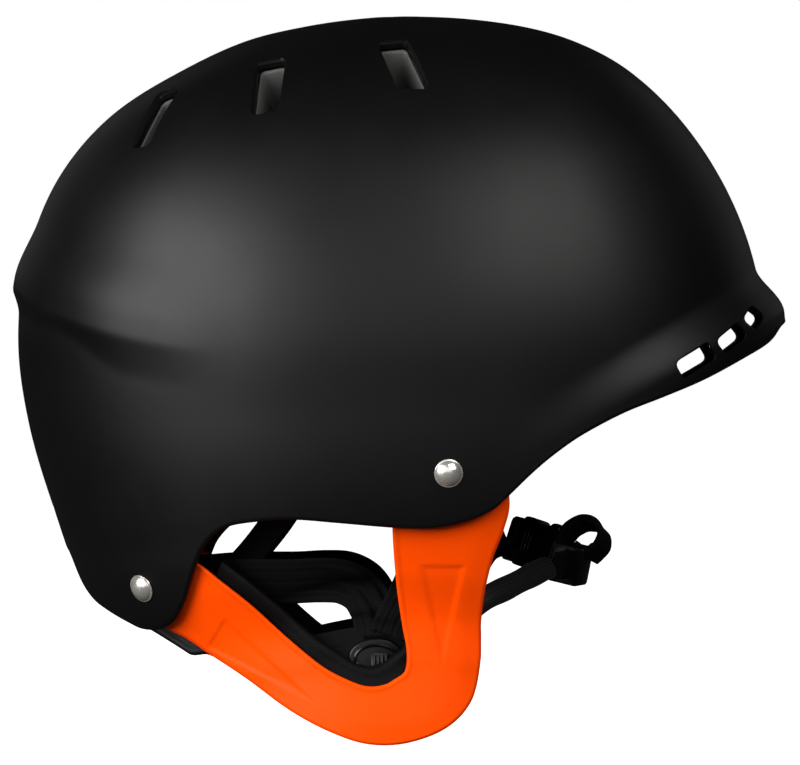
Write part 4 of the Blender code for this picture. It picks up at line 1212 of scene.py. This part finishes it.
# Each ring of the knob: its share of the radius, its height and how much of the lobes it keeps.
DIAL_PROFILE = [
    (0.30, -0.9, 0), (0.62, -0.9, 0), (0.70, -0.5, 0), (0.76, -0.05, 0.1), (0.86, 0.0, 0.5),
    (0.93, -0.25, 0.8), (0.98, -0.8, 1), (1.0, -1.6, 1), (1.0, -6.4, 1), (0.97, -7.1, 1),
    (0.9, -7.6, 0.6), (0.3, -7.6, 0),
]
CRADLE_ARM = [
    (-37, 99.5, 12), (-40.5, 91, 15), (-45.5, 82.5, 19.5), (-51, 75, 22.5), (-57, 68, 24.5),
    (-64, 61, 25.5), (-71.5, 54.5, 25.5),
]


def cradle_band(name, limit, inset, thickness, top_drop, bottom_rise, radius, mat, relief=None):
    """The cradle's curved band with rounded edges and, on its outside, moulded relief."""
    bearing = np.linspace(-limit, limit, 170)[:, None]
    share = (bearing / 80.0) ** 2
    end = 5.0 * smoothstep(0.86, 1.0, np.abs(bearing) / limit)
    top = 95.0 - top_drop - 44.0 * share - end
    bottom = 50.0 + bottom_rise - 23.0 * share + end
    level = (1 - np.cos(np.linspace(0, math.pi, 30)))[None, :] / 2
    height = top + (bottom - top) * level
    gap = np.minimum(np.minimum(top - height, height - bottom),
                     np.radians(limit - np.abs(bearing)) * CRADLE_RADIUS)
    near = np.minimum(radius, gap)
    drop = radius - np.sqrt(np.maximum(0.0, radius**2 - (radius - near) ** 2))
    shape = relief(bearing, gap) if relief else 0.0
    rings = []
    for depth in (inset + drop + shape, inset + thickness - drop):
        r = CRADLE_RADIUS - depth
        a = np.radians(bearing)
        rings.append(np.stack([CRADLE_CENTRE_X - r * np.cos(a), 1.03 * r * np.sin(a), height], -1))
    return tube_grid(name, np.concatenate([rings[0], rings[1][:, ::-1]], axis=1), mat, 45.0)


def cradle_relief(bearing, gap):
    rim = 0.5 * smoothstep(2.2, 3.4, gap)
    ribs = 0.4 * smoothstep(0.3, 0.8, np.cos(np.radians(bearing) * 14.0)) * smoothstep(4.0, 6.0, gap)
    return rim - ribs * smoothstep(16.0, 22.0, np.abs(bearing))


def build_nape():
    band = cradle_band("cradle_band", 80.0, 0.0, 2.4, 0, 0, 1.15, CRADLE, cradle_relief)
    fit(band, "nape_cradle", "cradle")
    pad = cradle_band("cradle_cushion", 62.0, 3.0, 4.5, 5, 5, 2.2, LINING)
    fit(pad, "nape_pad", "cradle")
    place = axis_matrix(DIAL_FACE, DIAL_AXIS)
    cover = [(0.0, -8.0), (9.0, -8.0), (11.4, -8.05), (12.2, -8.3), (12.55, -8.8), (12.6, -9.4), (12.5, -10.2),
             (11.9, -10.6), (6.5, -11.4), (0.0, -11.5)]
    housing = lathe("dial_housing", cover, place, CRADLE, 72, 40.0)
    fit(housing, "dial_cover", "cradle")
    angles = np.linspace(0, 2 * math.pi, 192, endpoint=False)
    lobes = 0.55 * np.cos(12 * angles)
    rings = []
    for scale, height, keep in DIAL_PROFILE:
        r = (10.6 + lobes * keep) * scale
        ring = np.stack([r * np.cos(angles), r * np.sin(angles), np.full(len(angles), height)], -1)
        rings.append(through(place, ring))
    knob = tube_grid("dial_knob", rings, HARD, 40.0)
    fit(knob, "size_dial", "dial")
    for side, word in ((1, "left"), (-1, "right")):
        line = spline(CRADLE_ARM, 60)
        path = resample(side_point(line[:, 0], line[:, 1], side, line[:, 2]), 60)
        arm = strap("flexible_arm_" + word, path, 5.2, 1.6, (0.75, 0.0, -0.65), CRADLE)
        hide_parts("cradle_arm_" + word)
        tuple(world(path[6]))
        tuple(world(path[-6]))
        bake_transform(arm)


build_nape()


# CAD nodes that stay as they are

for word in ("left", "right"):
    for which in ("front", "rear"):
        washer = bpy.data.objects[f"{which}_washer_{word}"]
        washer.data.materials.clear()
        washer.data.materials.append(NICKEL)


# Camera, light and floor


def area_light(name, azimuth, elevation, distance, width, height, energy, colour=(1.0, 1.0, 1.0)):
    """A soft box: azimuth 0 is the camera's side, positive towards the front of the helmet."""
    a, e = math.radians(azimuth), math.radians(elevation)
    out = Vector((math.sin(a) * math.cos(e), -math.cos(a) * math.cos(e), math.sin(e)))
    data = bpy.data.lights.new(name, "AREA")
    data.shape = "RECTANGLE"
    data.size, data.size_y = width, height
    data.energy = energy
    data.color = colour
    lamp = bpy.data.objects.new(name, data)
    lamp.location = Vector((0.0, 0.0, -0.1)) + out * distance
    lamp.rotation_euler = out.to_track_quat("Z", "Y").to_euler()
    lamp.visible_camera = False
    bpy.context.scene.collection.objects.link(lamp)


def camera_split(tree, around, seen, output):
    """The camera sees one shader, and everything else is lit by the other."""
    path = tree.nodes.new("ShaderNodeLightPath")
    mix = tree.nodes.new("ShaderNodeMixShader")
    tree.links.new(path.outputs["Is Camera Ray"], mix.inputs[0])
    tree.links.new(around.outputs[0], mix.inputs[1])
    tree.links.new(seen.outputs[0], mix.inputs[2])
    tree.links.new(mix.outputs[0], tree.nodes[output].inputs["Surface"])


def build_stage():
    floor_height = cad_box[0][2] - 0.0004
    mesh = bpy.data.meshes.new("studio_floor")
    count = 96
    radii = (0.4, 1.5, 6.0)
    points = [(0.0, 0.0, floor_height)]
    for radius in radii:
        for k in range(count):
            a = 2 * math.pi * k / count
            points.append((radius * math.cos(a), radius * math.sin(a), floor_height))
    faces = [(0, 1 + k, 1 + (k + 1) % count) for k in range(count)]
    faces += grid_faces(len(radii), count, 1, True)
    mesh.from_pydata(points, [], faces)
    floor = bpy.data.objects.new("studio_floor", mesh)
    bpy.context.scene.collection.objects.link(floor)
    n = Nodes("floor_white", (0.86, 0.86, 0.86), 0.9)
    n.fill(n.shader, {"Emission Color": (1.0, 1.0, 1.0, 1.0), "Emission Strength": FLOOR_GLOW})
    n.colours(n.noise(3.0), (0.85, 0.85, 0.85), (0.88, 0.88, 0.88))
    bounce = n.node("BsdfDiffuse", {"Color": (FLOOR_BOUNCE, FLOOR_BOUNCE, FLOOR_BOUNCE, 1.0)})
    camera_split(n.tree, bounce, n.shader, "Material Output")
    mesh.materials.append(n.mat)
    floor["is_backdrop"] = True


def build_world():
    scene = bpy.context.scene
    scene.world = bpy.data.worlds.new("studio")
    scene.world.use_nodes = True
    tree = scene.world.node_tree
    seen = tree.nodes["Background"]
    seen.inputs["Color"].default_value = (1.0, 1.0, 1.0, 1.0)
    seen.inputs["Strength"].default_value = 1.0
    around = tree.nodes.new("ShaderNodeBackground")
    around.inputs["Color"].default_value = (0.9, 0.95, 1.0, 1.0)
    around.inputs["Strength"].default_value = WORLD_STRENGTH
    camera_split(tree, around, seen, "World Output")
    scene.view_settings.view_transform = "Standard"
    scene.view_settings.look = "None"


def build_camera():
    azimuth = math.radians(CAMERA_AZIMUTH)
    data = bpy.data.cameras.new("camera")
    data.lens = CAMERA_LENS
    data.sensor_width = 36.0
    data.clip_end = 50.0
    camera = bpy.data.objects.new("camera", data)
    camera.location = (CAMERA_DISTANCE * math.sin(azimuth), -CAMERA_DISTANCE * math.cos(azimuth), CAMERA_HEIGHT)
    camera.rotation_euler = (math.radians(90), 0.0, azimuth)
    bpy.context.scene.collection.objects.link(camera)
    bpy.context.scene.camera = camera


CAMERA_AZIMUTH = 0.55
CAMERA_DISTANCE = 3.2
CAMERA_HEIGHT = 0.1338 - 0.24
CAMERA_LENS = 382.0
WORLD_STRENGTH = 0.006
FLOOR_BOUNCE = 0.05
FLOOR_GLOW = 1.1
build_stage()
build_world()
build_camera()
area_light("key_rear", -49, 17, 1.7, 1.3, 1.2, 47.0)
area_light("fill_front", 35, 34, 1.7, 1.15, 1.1, 20.0, (1.0, 0.99, 0.97))
area_light("broad", -6, 8, 2.4, 2.6, 1.4, 13.0)
area_light("far_rear", 215, 20, 2.2, 1.4, 1.2, 0.8)
area_light("far_front", 140, 20, 2.2, 1.4, 1.2, 0.8)

# The CAD box and the finished model's box, as plain lists.
repr([[list(map(float, corner)) for corner in box] for box in (cad_box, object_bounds())])
